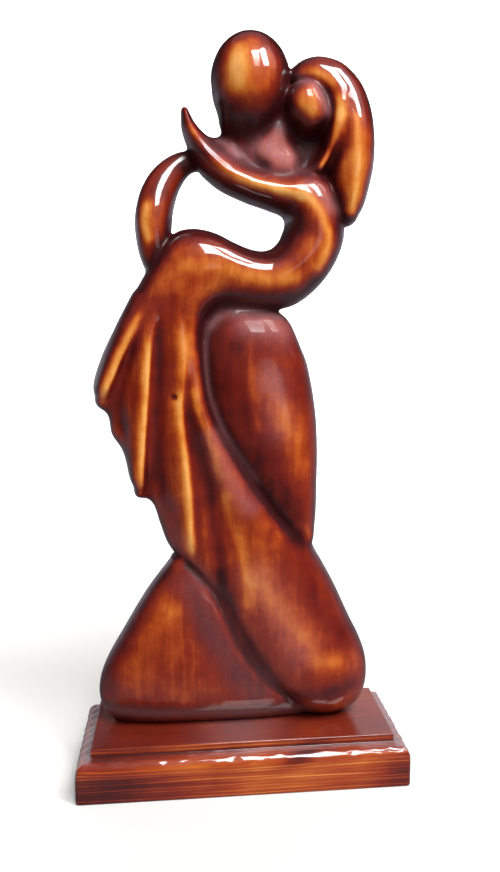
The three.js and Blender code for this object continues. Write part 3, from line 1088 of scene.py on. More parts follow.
@dataclass(frozen=True)
class StainedWood:
    """What both woods share: stain and painted shade through a ramp of colours, real-size patterns, dust and
    painted sheen.

    Attributes:
        name: Name of the material.
        stops: Stain values with their colours, from the darkest to the lightest.
        dust_and_sheen_colour: Colour where dust lies, and of painted sheen and reflections on the varnish.
        varnish_roughness: Roughness of the clear coat.
    """

    name: str
    stops: tuple
    dust_and_sheen_colour: str
    varnish_roughness: float

    def pattern(
        self, tree: bpy.types.NodeTree, place: bpy.types.NodeSocket, cell_mm: tuple[float, float, float],
        detail: float, roughness: float = 0.5,
    ) -> bpy.types.Node:
        """Makes noise with cells of a real size.

        Args:
            tree: Tree that gets the nodes.
            place: Place on the wood, in metres.
            cell_mm: Size of a cell along X, Y and Z.
            detail: Number of finer layers.
            roughness: Strength of each finer layer.

        Returns:
            The noise, with values from 0 to 1.
        """
        scale = tuple(1 / (size * MM) for size in cell_mm)
        mapped = add(tree, "ShaderNodeMapping", {"Scale": scale}, {"Vector": place})
        return add(
            tree, "ShaderNodeTexNoise", {"Scale": 1.0, "Detail": detail, "Roughness": roughness},
            {"Vector": mapped.outputs["Vector"]},
        )

    def ramp(
        self, tree: bpy.types.NodeTree, value: bpy.types.NodeSocket, stops: list[tuple[float, tuple]]
    ) -> bpy.types.NodeSocket:
        """Turns a value to a colour.

        Args:
            tree: Tree that gets the node.
            value: The value.
            stops: Values with their linear colours.

        Returns:
            The colour.
        """
        made = add(tree, "ShaderNodeValToRGB", None, {"Fac": value})
        elements = made.color_ramp.elements
        for i, (at, colour) in enumerate(stops):
            stop = elements[i] if i < len(elements) else elements.new(at)
            stop.position = at
            stop.color = colour
        return made.outputs["Color"]

    def stained(
        self, tree: bpy.types.NodeTree, value: bpy.types.NodeSocket,
        swings: tuple[tuple[bpy.types.NodeSocket, float], ...], dust_and_sheen: bpy.types.NodeSocket,
    ) -> bpy.types.NodeSocket:
        """Colours the wood.

        Args:
            tree: Tree that gets the nodes.
            value: The value of the stain and painted shade.
            swings: Patterns that make it swing up and down, each with how far.
            dust_and_sheen: How much dust and painted sheen lies on it.

        Returns:
            The colour.
        """
        for source, share in swings:
            scale = {"operation": "MULTIPLY_ADD", 1: share, 2: -share / 2}
            swing = add(tree, "ShaderNodeMath", scale, {0: source})
            moved = add(tree, "ShaderNodeMath", {"operation": "ADD"}, {0: value, 1: swing.outputs[0]})
            value = moved.outputs[0]
        clean = self.ramp(tree, value, [(at, linear(colour)) for at, colour in self.stops])
        with_dust_and_sheen = add(
            tree, "ShaderNodeMix", {"data_type": "RGBA", 7: linear(self.dust_and_sheen_colour)}, {0: dust_and_sheen, 6: clean}
        )
        return with_dust_and_sheen.outputs[2]


@dataclass(frozen=True)
class StainedCarving(StainedWood):
    """Carved softwood, probably pine or cedar, sanded, stained mahogany, rubbed back and varnished.

    The stain stays near black in the grooves and on the sides and is rubbed to orange and amber on the
    crests. A thick clear coat gives it mirror-like lights over the soft grain.

    Attributes:
        grain_mm: Size of a fibre, drawn as coarse as it needs to show.
        streak_mm: Size of a streak of stain along the grain.
        cloud_mm: Size of a cloud in the stain.
        mottle_mm: Size of a blotch in it.
        speck_mm: Size of a speck of dust.
        bend_mm: Size of a bend of the grain.
        bend_by_mm: How far the grain bends.
    """

    name: str = "stained varnished softwood"
    stops: tuple = (
        (0.00, "#360c0e"),
        (0.15, "#4b100d"),
        (0.30, "#69170c"),
        (0.45, "#7f240c"),
        (0.60, "#a44110"),
        (0.75, "#c46822"),
        (0.90, "#dc8e40"),
        (1.00, "#e9a558"),
    )
    dust_and_sheen_colour: str = "#aa7478"
    varnish_roughness: float = 0.06
    grain_mm: tuple = (1.1, 1.1, 33.0)
    streak_mm: tuple = (4.0, 4.0, 48.0)
    cloud_mm: tuple = (18.0,) * 3
    mottle_mm: tuple = (7.0,) * 3
    speck_mm: tuple = (1.4,) * 3
    bend_mm: tuple = (30.0,) * 3
    bend_by_mm: float = 4.0

    def build(self) -> bpy.types.Material:
        """Makes the material.

        Returns:
            The new material.
        """
        material, tree, place = new_material(self.name)
        stain_and_shade, dust_and_sheen, gloss = (
            add(tree, "ShaderNodeAttribute", {"attribute_name": mark}).outputs["Fac"]
            for mark in ("stain_and_shade", "dust_and_sheen", "gloss")
        )
        warp = self.pattern(tree, place, self.bend_mm, 2.0)
        shift = self.bend_by_mm * MM
        bent = add(
            tree, "ShaderNodeVectorMath", {"operation": "MULTIPLY_ADD", 1: (shift, shift, 0.0)},
            {0: warp.outputs["Color"], 2: place},
        ).outputs["Vector"]
        grain = self.pattern(tree, bent, self.grain_mm, 3.0, 0.6).outputs["Fac"]
        streak = self.pattern(tree, bent, self.streak_mm, 3.0, 0.6).outputs["Fac"]
        mottle = self.pattern(tree, bent, self.mottle_mm, 6.0, 0.6).outputs["Fac"]
        cloud = self.pattern(tree, place, self.cloud_mm, 3.0).outputs["Fac"]
        speck = self.pattern(tree, place, self.speck_mm, 4.0).outputs["Fac"]
        patchy = add(
            tree, "ShaderNodeMapRange", {"From Min": 0.3, "From Max": 0.7, "To Min": 0.7, "To Max": 1.1},
            {"Value": speck},
        )
        patchy_dust_and_sheen = add(
            tree, "ShaderNodeMath", {"operation": "MULTIPLY", "use_clamp": True},
            {0: dust_and_sheen, 1: patchy.outputs["Result"]},
        )
        swings = ((grain, 0.09), (streak, 0.30), (cloud, 0.26), (mottle, 0.30))
        colour = self.stained(tree, stain_and_shade, swings, patchy_dust_and_sheen.outputs[0])
        rough = add(tree, "ShaderNodeMapRange", {"To Min": 0.30, "To Max": 0.5}, {"Value": cloud})
        crumbs = add(tree, "ShaderNodeMath", {"operation": "MULTIPLY"}, {0: dust_and_sheen, 1: speck})
        sanded = add(tree, "ShaderNodeMath", {"operation": "MULTIPLY_ADD", 1: 1.2}, {0: speck, 2: grain})
        height = add(
            tree, "ShaderNodeMath", {"operation": "MULTIPLY_ADD", 1: 3.5},
            {0: crumbs.outputs[0], 2: sanded.outputs[0]},
        )
        bump = add(
            tree, "ShaderNodeBump", {"Strength": 0.25, "Distance": 0.05 * MM}, {"Height": height.outputs[0]}
        )
        skin = add(
            tree, "ShaderNodeBsdfPrincipled",
            {"IOR": 1.5, "Coat Roughness": self.varnish_roughness, "Coat IOR": 1.65,
             "Specular IOR Level": 0.15},
            {"Base Color": colour, "Roughness": rough.outputs["Result"], "Coat Weight": gloss,
             "Normal": bump.outputs["Normal"]},
        )
        add(tree, "ShaderNodeOutputMaterial", None, {"Surface": skin.outputs["BSDF"]})
        return material


@dataclass
class Couple:
    """The embracing couple, carved from one block of wood.

    Attributes:
        finish: Its stained and varnished wood.
        wobble: Height of what the sanding left uneven, in millimetres.
        side_stain: Stain value on the sides.
        rubbed: How much lighter the front and the back are.
        caught: How much darker the deepest groove is.
        body_sections: How the section of her body changes along it, as in CarvedForm.
    """

    finish: StainedCarving = field(default_factory=StainedCarving)
    wobble: float = 0.12
    side_stain: float = 0.08
    rubbed: float = 0.39
    caught: float = 0.32
    body_sections: tuple = (
        (0, 2.0, 0.0), (2, 1.6, 0.1), (4, 1.5, 0.2), (6, 1.6, 0.2), (8, 1.8, 0.1), (10, 2.0, 0.0),
        (13, 2.0, 0.1), (16, 2.1, 0.1), (19, 2.3, 0.0), (35, 2.3, 0.0), (37, 2.1, 0.0),
    )

    def forms(self) -> tuple[CarvedForm, ...]:
        """Lists the forms of the figure.

        Returns:
            The forms in the order in which they are joined.
        """
        return (
            CarvedForm(HER_BODY, self.body_sections, start_cap=3.3),
            CarvedForm(LEG_FOLD, ((0, 2.3, 0.1),), start_cap=4, end_cap=12, blend=6),
            CarvedForm(OUTER_FOLD, start_cap=3, end_cap=5, blend=5),
            CarvedForm(SECOND_FOLD, start_cap=3, end_cap=4, blend=5),
            CarvedForm(GROUND, start_cap=4, end_cap=4, blend=2.5),
            CarvedForm(THIGH, ((0, 2.3, 0),), start_cap=1, end_cap=7, blend=3),
            CarvedForm(STANDING_LEG, ((0, 2.6, 0),), start_cap=3, blend=1.6),
            CarvedForm(HIS_ARM, ((0, 2.5, 0),), middle=8, start_cap=3, end_cap=3, blend=2),
            CarvedForm(NECK_WEB, ((0, 2.0, 0.5),), middle=6, start_cap=3, blend=4),
            CarvedForm(NECK_FACET, ((0, 3.0, 0),), end_cap=4, blend=5),
            CarvedForm(HIS_HEAD, end_cap=23.8, blend=2.5),
            CarvedForm(
                HAIR, ((0, 2.4, -0.3), (5, 2.2, -0.2), (7, 2.0, 0.1)), start_cap=1.5, end_cap=6, blend=1.6
            ),
            CarvedForm(INNER_LOCK, start_cap=4, end_cap=2, blend=4),
            CarvedForm(HER_FACE, ((0, 2.5, 0),), start_cap=13.6, end_cap=13.6, blend=1.8),
        )

    def build(self) -> bpy.types.Object:
        """Carves the figure and dresses it.

        Returns:
            The figure's object.
        """
        block = CarvedBlock(self.forms(), RELIEF)
        block.carve()
        places, quads = self._skin(block)
        normals = vertex_normals(places, quads)
        shut = self.shelter(block, places, normals)
        stain_and_shade = self.stain_and_shade(block, places, normals, shut)
        x, z = places[:, 0], places[:, 2]
        dust_and_sheen = np.clip(laid(DUST_AND_SHEEN, x, z), 0, 1) * (places[:, 1] < self.forms()[0].middle)
        dull = np.clip(laid(DULL, x, z), 0, 1)
        gloss = (1 - 0.92 * smooth_step(0.05, 0.36, shut)) * (1 - dust_and_sheen) * (1 - dull)
        places = places + normals * self.relief(places)[:, None]
        places[:, 2] = np.maximum(places[:, 2], FIGURE_BOTTOM)
        marks = {"stain_and_shade": stain_and_shade, "dust_and_sheen": dust_and_sheen, "gloss": gloss}
        piece = make_piece("couple_carving", places, quads.tolist(), marks)
        piece.data.materials.append(self.finish.build())
        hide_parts("carved_couple")
        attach(piece, "root")
        LOG.info("couple_carving: %d vertices, %d quads", len(places), len(quads))
        return piece

    @staticmethod
    def _skin(block: CarvedBlock) -> tuple[np.ndarray, np.ndarray]:
        """Takes the wood's surface and evens it out.

        Args:
            block: The wood.

        Returns:
            Vertex places in millimetres, and four vertex numbers a face.
        """
        places, quads = block.surface()
        for _ in range(3):
            places = relax(places, quads, 0.5)
            places -= block.sample(places)[:, None] * vertex_normals(places, quads)
        # One pass smooths, and the next swells the surface back to its size.
        return relax(relax(places, quads, 0.5), quads, -0.53), quads

    def relief(self, places: np.ndarray) -> np.ndarray:
        """Works out the height that carving and sanding by hand left.

        Args:
            places: Vertex places in millimetres.

        Returns:
            One height a place, in millimetres.
        """
        broad = Unevenness(11).at(places, (15, 15, 24))
        fine = Unevenness(12).at(places, (6, 6, 10))
        sanded = Unevenness(13).at(places, (3.2, 3.2, 4.5))
        height = self.wobble * (0.7 * broad + 0.25 * fine + 0.2 * sanded)
        return height * smooth_step(FIGURE_BOTTOM, FIGURE_BOTTOM + 6, places[:, 2])

    @staticmethod
    def shelter(block: CarvedBlock, places: np.ndarray, normals: np.ndarray) -> np.ndarray:
        """Tells how deep in a groove each place lies, where cloth and sandpaper do not reach.

        Args:
            block: The wood.
            places: Vertex places in millimetres.
            normals: Unit normals.

        Returns:
            Values from 0, in the open, to 1.
        """
        shut = np.zeros(len(places))
        for reach, share in ((2.5, 0.35), (6.0, 0.4), (12.0, 0.25)):
            open_air = block.sample(places + normals * reach)
            shut += share * np.clip(1 - open_air / reach, 0, 1)
        return shut

    def stain_and_shade(
        self, block: CarvedBlock, places: np.ndarray, normals: np.ndarray, shut: np.ndarray
    ) -> np.ndarray:
        """Works out how far the stain is rubbed back at each place, with painted shade on undersides and in
        hollows.

        Args:
            block: The wood, which tells where it bulges.
            places: Vertex places in millimetres.
            normals: Unit normals.
            shut: How deep in a groove each place lies.

        Returns:
            Values from 0, where it is near black, to 1, where it is amber.
        """
        facing = np.abs(normals[:, 1])
        value = self.side_stain + self.rubbed * smooth_step(0.34, 0.93, facing) - self.caught * shut
        for width in (2.4, 5.0):
            value += np.clip(0.8 * self._bulge(block, places, width), -0.15, 0.10) * facing
        value += laid(RUBBING_AND_SHADE, places[:, 0], places[:, 2]) * smooth_step(0.2, 0.8, facing)
        return np.clip(value, 0, 1)

    @staticmethod
    def _bulge(block: CarvedBlock, places: np.ndarray, width: float) -> np.ndarray:
        """Tells how much the surface bends outward.

        Args:
            block: The wood.
            places: Vertex places in millimetres.
            width: How wide a bend is looked for, in millimetres.

        Returns:
            Bend in 1 a millimetre, less than 0 in a hollow.
        """
        soft = block.sample(places, block.softened(width))
        return 2 * (soft - block.sample(places)) / width**2


@dataclass(frozen=True)
class StainedPineBoard(StainedWood):
    """Planed pine board, routed, stained red-brown and varnished.

    Soft early wood drinks the stain and hard late wood does not, so growth lines about 2 mm apart run
    along its front, broad flames lie on its top and arcs cross its ends. Thick varnish gives it a glassy
    top.

    Attributes:
        ring_mm: Distance between two growth rings.
        pith_mm: Place of the tree's middle.
        ring: How light the wood is through one ring.
        warp_mm: Size of a bend of the rings.
        warp_by_mm: How far they bend.
        faint_mm: Size of a stretch over which growth lines fade in and out.
        fibre_mm: Size of a fibre.
        cloud_mm: Size of a cloud in the stain.
        nub_mm: Size of a torn fibre.
    """

    name: str = "stained varnished pine board"
    stops: tuple = (
        (0.00, "#260a0a"),
        (0.25, "#4b110a"),
        (0.45, "#7a220c"),
        (0.65, "#a34111"),
        (0.85, "#c46a25"),
        (1.00, "#dc8e42"),
    )
    dust_and_sheen_colour: str = "#a9979b"
    varnish_roughness: float = 0.05
    ring_mm: float = 1.55
    pith_mm: tuple = (0.0, 95.0, -150.0)
    ring: tuple = ((0.0, 0.15), (0.1, 0.95), (0.26, 0.65), (0.5, 0.25), (1.0, 0.15))
    warp_mm: tuple = (167.0, 16.7, 16.7)
    warp_by_mm: float = 5.0
    faint_mm: tuple = (71.4, 2.38, 2.38)
    fibre_mm: tuple = (30.0, 0.9, 0.9)
    cloud_mm: tuple = (22.0,) * 3
    nub_mm: tuple = (6.25, 2.0, 2.0)

    def build(self) -> bpy.types.Material:
        """Makes the material.

        Returns:
            The new material.
        """
        material, tree, place = new_material(self.name)
        stain_and_shade, lines, dust_and_sheen = (
            add(tree, "ShaderNodeAttribute", {"attribute_name": mark}).outputs["Fac"]
            for mark in ("stain_and_shade", "lines", "dust_and_sheen")
        )
        faint = self.pattern(tree, place, self.faint_mm, 1.0)
        strong = add(
            tree, "ShaderNodeMapRange", {"From Min": 0.35, "From Max": 0.65, "To Min": 0.1, "To Max": 1.0},
            {"Value": faint.outputs["Fac"]},
        )
        clear = add(
            tree, "ShaderNodeMath", {"operation": "MULTIPLY"}, {0: lines, 1: strong.outputs["Result"]}
        )
        shown = add(
            tree, "ShaderNodeMath", {"operation": "MULTIPLY_ADD", 2: 0.4},
            {0: self._growth(tree, place), 1: clear.outputs[0]},
        )
        fibre = self.pattern(tree, place, self.fibre_mm, 3.0)
        cloud = self.pattern(tree, place, self.cloud_mm, 3.0)
        swings = ((shown.outputs[0], 0.45), (fibre.outputs["Fac"], 0.22), (cloud.outputs["Fac"], 0.3))
        colour = self.stained(tree, stain_and_shade, swings, dust_and_sheen)
        nubs = self.pattern(tree, place, self.nub_mm, 3.0)
        torn = add(tree, "ShaderNodeMath", {"operation": "MULTIPLY"}, {0: lines, 1: nubs.outputs["Fac"]})
        bump = add(
            tree, "ShaderNodeBump", {"Strength": 0.5, "Distance": 0.22 * MM}, {"Height": torn.outputs[0]}
        )
        skin = add(
            tree, "ShaderNodeBsdfPrincipled",
            {"IOR": 1.5, "Roughness": 0.35, "Coat Weight": 1.0, "Coat Roughness": self.varnish_roughness,
             "Coat IOR": 1.6, "Specular IOR Level": 0.2},
            {"Base Color": colour, "Normal": bump.outputs["Normal"]},
        )
        add(tree, "ShaderNodeOutputMaterial", None, {"Surface": skin.outputs["BSDF"]})
        return material

    def _growth(self, tree: bpy.types.NodeTree, place: bpy.types.NodeSocket) -> bpy.types.NodeSocket:
        """Cuts growth rings round the tree's middle.

        Args:
            tree: Tree that gets the nodes.
            place: Place on the wood, in metres.

        Returns:
            How light the wood is, from 0 to 1.
        """
        warp = self.pattern(tree, place, self.warp_mm, 2.0)
        centred = add(
            tree, "ShaderNodeVectorMath", {"operation": "SUBTRACT", 1: tuple(v * MM for v in self.pith_mm)},
            {0: place},
        )
        shift = self.warp_by_mm * MM
        bent = add(
            tree, "ShaderNodeVectorMath", {"operation": "MULTIPLY_ADD", 1: (0, shift, shift)},
            {0: warp.outputs["Color"], 2: centred.outputs["Vector"]},
        )
        flat = add(
            tree, "ShaderNodeVectorMath", {"operation": "MULTIPLY", 1: (0, 1, 1)},
            {0: bent.outputs["Vector"]},
        )
        radius = add(tree, "ShaderNodeVectorMath", {"operation": "LENGTH"}, {0: flat.outputs["Vector"]})
        turns = add(
            tree, "ShaderNodeMath", {"operation": "MULTIPLY", 1: 1 / (self.ring_mm * MM)},
            {0: radius.outputs["Value"]},
        )
        part = add(tree, "ShaderNodeMath", {"operation": "FRACT"}, {0: turns.outputs[0]})
        return self.ramp(tree, part.outputs[0], [(at, (light,) * 3 + (1.0,)) for at, light in self.ring])


@dataclass
class Plinth:
    """The planed board under the figure, with a routed edge all round and torn end grain.

    Attributes:
        finish: Its stained and varnished pine.
        shoulder: Height of the flat beside the plate, in millimetres.
        plate_inset: How far the plate stands in from the board's sides.
        shoulder_flat: Width of the flat beside the plate.
        foot_rounding: Rounding of the bottom edge.
        corner: Rounding of the upright corners.
        tooth: Depth of the torn places on the short ends.
        pitch: Distance between torn places.
        patches: Spots on the front where the stain is thick or thin.
    """

    finish: StainedPineBoard = field(default_factory=StainedPineBoard)
    shoulder: float = 22.5
    plate_inset: float = 7.8
    shoulder_flat: float = 1.4
    foot_rounding: float = 1.2
    corner: float = 1.6
    tooth: float = 1.9
    pitch: float = 7.4
    patches: tuple[Patch, ...] = (
        Patch(-88, 6, 26, 12, 0, -0.22),
        Patch(86, 8, 16, 10, 60, -0.2),
        Patch(-66, 11, 34, 14, 0, -0.12),
        Patch(30, 20, 14, 4, 20, -0.34),
        Patch(22, 9, 40, 11, 0, 0.25),
        Patch(-50, 18, 40, 4, 0, 0.2),
        Patch(70, 16, 26, 5, 0, 0.1),
    )

    # A normal that points up more than this is on the flat top.
    LEVEL = 0.9
    # Points along a long side, a short side and round a corner.
    POINTS = (121, 72, 5)

    def build(self) -> bpy.types.Object:
        """Makes the plinth and dresses it.

        Returns:
            The plinth's object.
        """
        low, high = (np.array(v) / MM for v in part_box("plinth"))
        half, top = (high - low)[:2] / 2, high[2]
        rings = []
        for inset, height in self._profile(top, half[1]):
            ring = self._outline(half - inset, max(0.3, self.corner - inset / 6))
            rings.append(np.column_stack([ring, np.full(len(ring), height)]))
        places, count = np.vstack(rings), len(rings[0])
        here = np.arange(count)
        following = (here + 1) % count
        band = np.column_stack([here, following, following + count, here + count])
        quads = np.vstack([band + r * count for r in range(len(rings) - 1)])
        normals = vertex_normals(places, quads)
        places = places + self._wear(places, normals, half)
        places[:, :2] = np.clip(places[:, :2], -half, half)
        places[:, 2] = np.maximum(places[:, 2], 0)
        faces = quads.tolist() + [here[::-1].tolist(), (len(places) - count + here).tolist()]
        marks = {
            "stain_and_shade": self._stain_and_shade(places, normals, half),
            "lines": np.where(normals[:, 2] > self.LEVEL, 0.15, 1.0),
            "dust_and_sheen": self._dust_and_sheen(places, normals, half),
        }
        piece = make_piece("plinth_board", places, faces, marks)
        piece.data.materials.append(self.finish.build())
        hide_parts("plinth")
        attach(piece, "root")
        LOG.info("plinth_board: %d vertices, %d faces", len(places), len(faces))
        return piece

    def _profile(self, top: float, depth: float) -> list[tuple[float, float]]:
        """Follows the side of the board from its underside to the middle of its plate.

        Args:
            top: Height of the plate.
            depth: Half depth of the board.

        Returns:
            Rows of inset and height.
        """
        foot, arc = self.foot_rounding, self.plate_inset - self.shoulder_flat
        rows = [(12.0, 0.0), (4.0, 0.0)]
        for angle in np.linspace(0, math.pi / 2, 5):
            rows.append((foot * (1 - math.sin(angle)), foot * (1 - math.cos(angle))))
        side = self.shoulder - arc
        rows += [(0.0, z) for z in np.linspace(foot + 1.5, side - 1.5, 7)]
        for angle in np.linspace(0, math.pi / 2, 12):
            rows.append((arc * (1 - math.cos(angle)), self.shoulder - arc * (1 - math.sin(angle))))
        inset = self.plate_inset
        rows += [(inset - back, self.shoulder + up) for back, up in ((0.5, 0), (0.12, 0.05), (0, 0.3))]
        rows += [(inset, z) for z in (self.shoulder + 1.5, top - 1.6, top - 0.7)]
        for angle in np.linspace(0.3, math.pi / 2, 4):
            rows.append((inset + 0.6 * (1 - math.cos(angle)), top - 0.6 * (1 - math.sin(angle))))
        rows += [(d, top) for d in np.linspace(inset + 1.4, depth - 1.0, 22)]
        return rows

    def _outline(self, half: np.ndarray, corner: float) -> np.ndarray:
        """Gives a rectangle with rounded corners, with the same number of points whatever its size.

        Args:
            half: Half width and half depth.
            corner: Radius of the corners.

        Returns:
            Points anticlockwise, one a row.
        """
        long_side, short_side, bend = self.POINTS
        straight = np.maximum(half - corner, 0.1)
        points = []
        for quarter, (sx, sy) in enumerate(((1, 1), (-1, 1), (-1, -1), (1, -1))):
            for angle in np.linspace(0, math.pi / 2, bend):
                turn = quarter * math.pi / 2 + angle
                out = corner * math.cos(turn), corner * math.sin(turn)
                points.append((sx * straight[0] + out[0], sy * straight[1] + out[1]))
            number = long_side if quarter % 2 == 0 else short_side
            for i in range(1, number):
                part = i / number
                if quarter % 2 == 0:
                    points.append((sx * straight[0] * (1 - 2 * part), sy * (straight[1] + corner)))
                else:
                    points.append((sx * (straight[0] + corner), sy * straight[1] * (1 - 2 * part)))
        return np.array(points)

    def _wear(self, places: np.ndarray, normals: np.ndarray, half: np.ndarray) -> np.ndarray:
        """Works out what torn grain, planing and sanding do to the surface.

        Args:
            places: Vertex places in millimetres.
            normals: Unit normals.
            half: Half width and half depth of the board.

        Returns:
            How far each place moves.
        """
        arc_start = self.shoulder - (self.plate_inset - self.shoulder_flat)
        end = smooth_step(0.35, 0.85, np.abs(normals[:, 0]) + 0.6 * np.maximum(normals[:, 2], 0))
        end *= smooth_step(half[0] - 9, half[0] - 5.5, np.abs(places[:, 0]))
        routed = smooth_step(arc_start - 4.5, arc_start + 1, places[:, 2])
        routed *= 1 - smooth_step(self.shoulder - 0.4, self.shoulder + 0.4, places[:, 2])
        shift = Unevenness(21).at(places, (400, 15, 400)) * 1.6
        wave = np.cos(2 * math.pi * (places[:, 1] + shift) / self.pitch)
        bite = self.tooth * smooth_step(-0.4, 0.9, wave)
        bite = bite * (0.75 + 0.5 * Unevenness(22).at(places, (400, 9, 9)))
        ragged = Unevenness(23).at(places, (5, 5, 1.6)) * 0.24 * routed
        planed = Unevenness(24).at(places, (30, 9, 9)) * 0.07
        return normals * (ragged + planed - bite * end * routed)[:, None]

    def _stain_and_shade(self, places: np.ndarray, normals: np.ndarray, half: np.ndarray) -> np.ndarray:
        """Works out how light the stain is: thick on end grain, thin on the edges, with painted shade at the
        plate's step.

        Args:
            places: Vertex places in millimetres.
            normals: Unit normals.
            half: Half width and half depth of the board.

        Returns:
            Values from 0 to 1.
        """
        value = 0.45 - 0.02 * normals[:, 2] + 0.06 * smooth_step(6, 20, places[:, 2])
        value -= 0.25 * smooth_step(0.6, 0.95, np.abs(normals[:, 0]))
        value -= 0.1 * smooth_step(-10, -50, places[:, 0]) * (normals[:, 2] > self.LEVEL)
        # painted shade in the corner at the foot of the plate's step
        step = np.exp(-(((places[:, 2] - self.shoulder) / 0.9) ** 2))
        inset = half[1] - np.abs(places[:, 1])
        value -= 0.3 * step * smooth_step(self.plate_inset - 1.2, self.plate_inset - 0.2, inset)
        for patch in self.patches:
            value += patch.weight(places) * (normals[:, 1] < -0.2)
        return np.clip(value, 0, 1)

    def _dust_and_sheen(self, places: np.ndarray, normals: np.ndarray, half: np.ndarray) -> np.ndarray:
        """Works out where dust lies in the torn ends, and a painted pinkish reflection on the plate's middle
        and right end.

        Args:
            places: Vertex places in millimetres.
            normals: Unit normals.
            half: Half width and half depth of the board.

        Returns:
            Values from 0 to 1.
        """
        x, z = places[:, 0], places[:, 2]
        torn = smooth_step(half[0] - 8.5, half[0] - 7, np.abs(x)) * smooth_step(12, 17, z)
        torn *= 1 - smooth_step(0.3, 0.7, np.abs(normals[:, 1]))
        level = normals[:, 2] > self.LEVEL
        # painted reflection on the plate's middle and right end
        middle = (0.02 + 0.32 * np.exp(-(((x + 2) / 20) ** 2))) * level
        right = 0.4 * smooth_step(half[0] - 30, half[0] - 24, x) * level
        return 0.6 * np.clip(np.maximum.reduce([torn, middle, right]), 0, 1)


@dataclass(frozen=True)
class PaleCloth:
    """White cotton cloth, matt, which gives a pale ground with soft shadows.

    In the varnish it shows as painted shade, darkest in front and high up, as cloth in the shade would.

    Attributes:
        name: Name of the material.
        colour: Where the light falls on it.
        near_shade_colour: Painted shade on the cloth in front of the figure.
        mirror_shade_colour: Painted shade, as the varnish mirrors it behind the figure.
        shade_colour: As the varnish mirrors it in front and high up.
        bands: Where each change sets in and where it is full, in metres along an axis.
    """

    name: str = "pale cotton cloth"
    colour: str = "#ebeae8"
    near_shade_colour: str = "#96948f"
    mirror_shade_colour: str = "#67646c"
    shade_colour: str = "#2b282e"
    bands: tuple = (
        ("near", "Y", "LINEAR", -0.02, -0.4),
        ("ahead", "Y", "SMOOTHSTEP", -0.06, -0.2),
        ("aloft", "Z", "SMOOTHSTEP", 0.45, 1.0),
    )

    def build(self) -> bpy.types.Material:
        """Makes the material.

        Returns:
            The new material.
        """
        material, tree, place = new_material(self.name)
        parts = add(tree, "ShaderNodeSeparateXYZ", None, {"Vector": place})
        share = {}
        for name, axis, kind, start, full in self.bands:
            settings = {"interpolation_type": kind, "From Min": start, "From Max": full}
            band = add(tree, "ShaderNodeMapRange", settings, {"Value": parts.outputs[axis]})
            share[name] = band.outputs["Result"]
        mirrored = add(tree, "ShaderNodeLightPath").outputs["Is Glossy Ray"]
        either = add(
            tree, "ShaderNodeMath", {"operation": "MAXIMUM"}, {0: share["aloft"], 1: share["ahead"]}
        )
        shaded = add(tree, "ShaderNodeMath", {"operation": "MULTIPLY"}, {0: mirrored, 1: either.outputs[0]})
        # painted shade: the cloth darker towards the camera, and darker still in the varnish
        cloth = add(
            tree, "ShaderNodeMix",
            {"data_type": "RGBA", 6: linear(self.colour), 7: linear(self.near_shade_colour)}, {0: share["near"]},
        )
        for factor, colour in ((mirrored, self.mirror_shade_colour), (shaded.outputs[0], self.shade_colour)):
            over = {"data_type": "RGBA", 7: linear(colour)}
            cloth = add(tree, "ShaderNodeMix", over, {0: factor, 6: cloth.outputs[2]})
        skin = add(
            tree, "ShaderNodeBsdfPrincipled", {"Roughness": 0.9, "Specular IOR Level": 0.1},
            {"Base Color": cloth.outputs[2]},
        )
        add(tree, "ShaderNodeOutputMaterial", None, {"Surface": skin.outputs["BSDF"]})
        return material


@dataclass(frozen=True)
class Softbox:
    """A soft rectangular studio light.

    Attributes:
        name: Name of the light.
        aim: Place that it looks at, in metres.
        towards: Direction from there to the light.
        away: Distance in metres.
        wide: Width in metres.
        tall: Height in metres.
        watts: Power.
    """

    name: str
    aim: tuple[float, float, float]
    towards: tuple[float, float, float]
    away: float
    wide: float
    tall: float
    watts: float

    def build(self) -> None:
        """Makes the light and turns it to what it looks at."""
        lamp = bpy.data.lights.new(self.name, "AREA")
        lamp.shape = "RECTANGLE"
        lamp.size, lamp.size_y = self.wide, self.tall
        lamp.energy = self.watts
        holder = bpy.data.objects.new(self.name, lamp)
        way = Vector(self.towards).normalized()
        holder.location = Vector(self.aim) + way * self.away
        holder.rotation_euler = (-way).to_track_quat("-Z", "Y").to_euler()
        bpy.context.scene.collection.objects.link(holder)


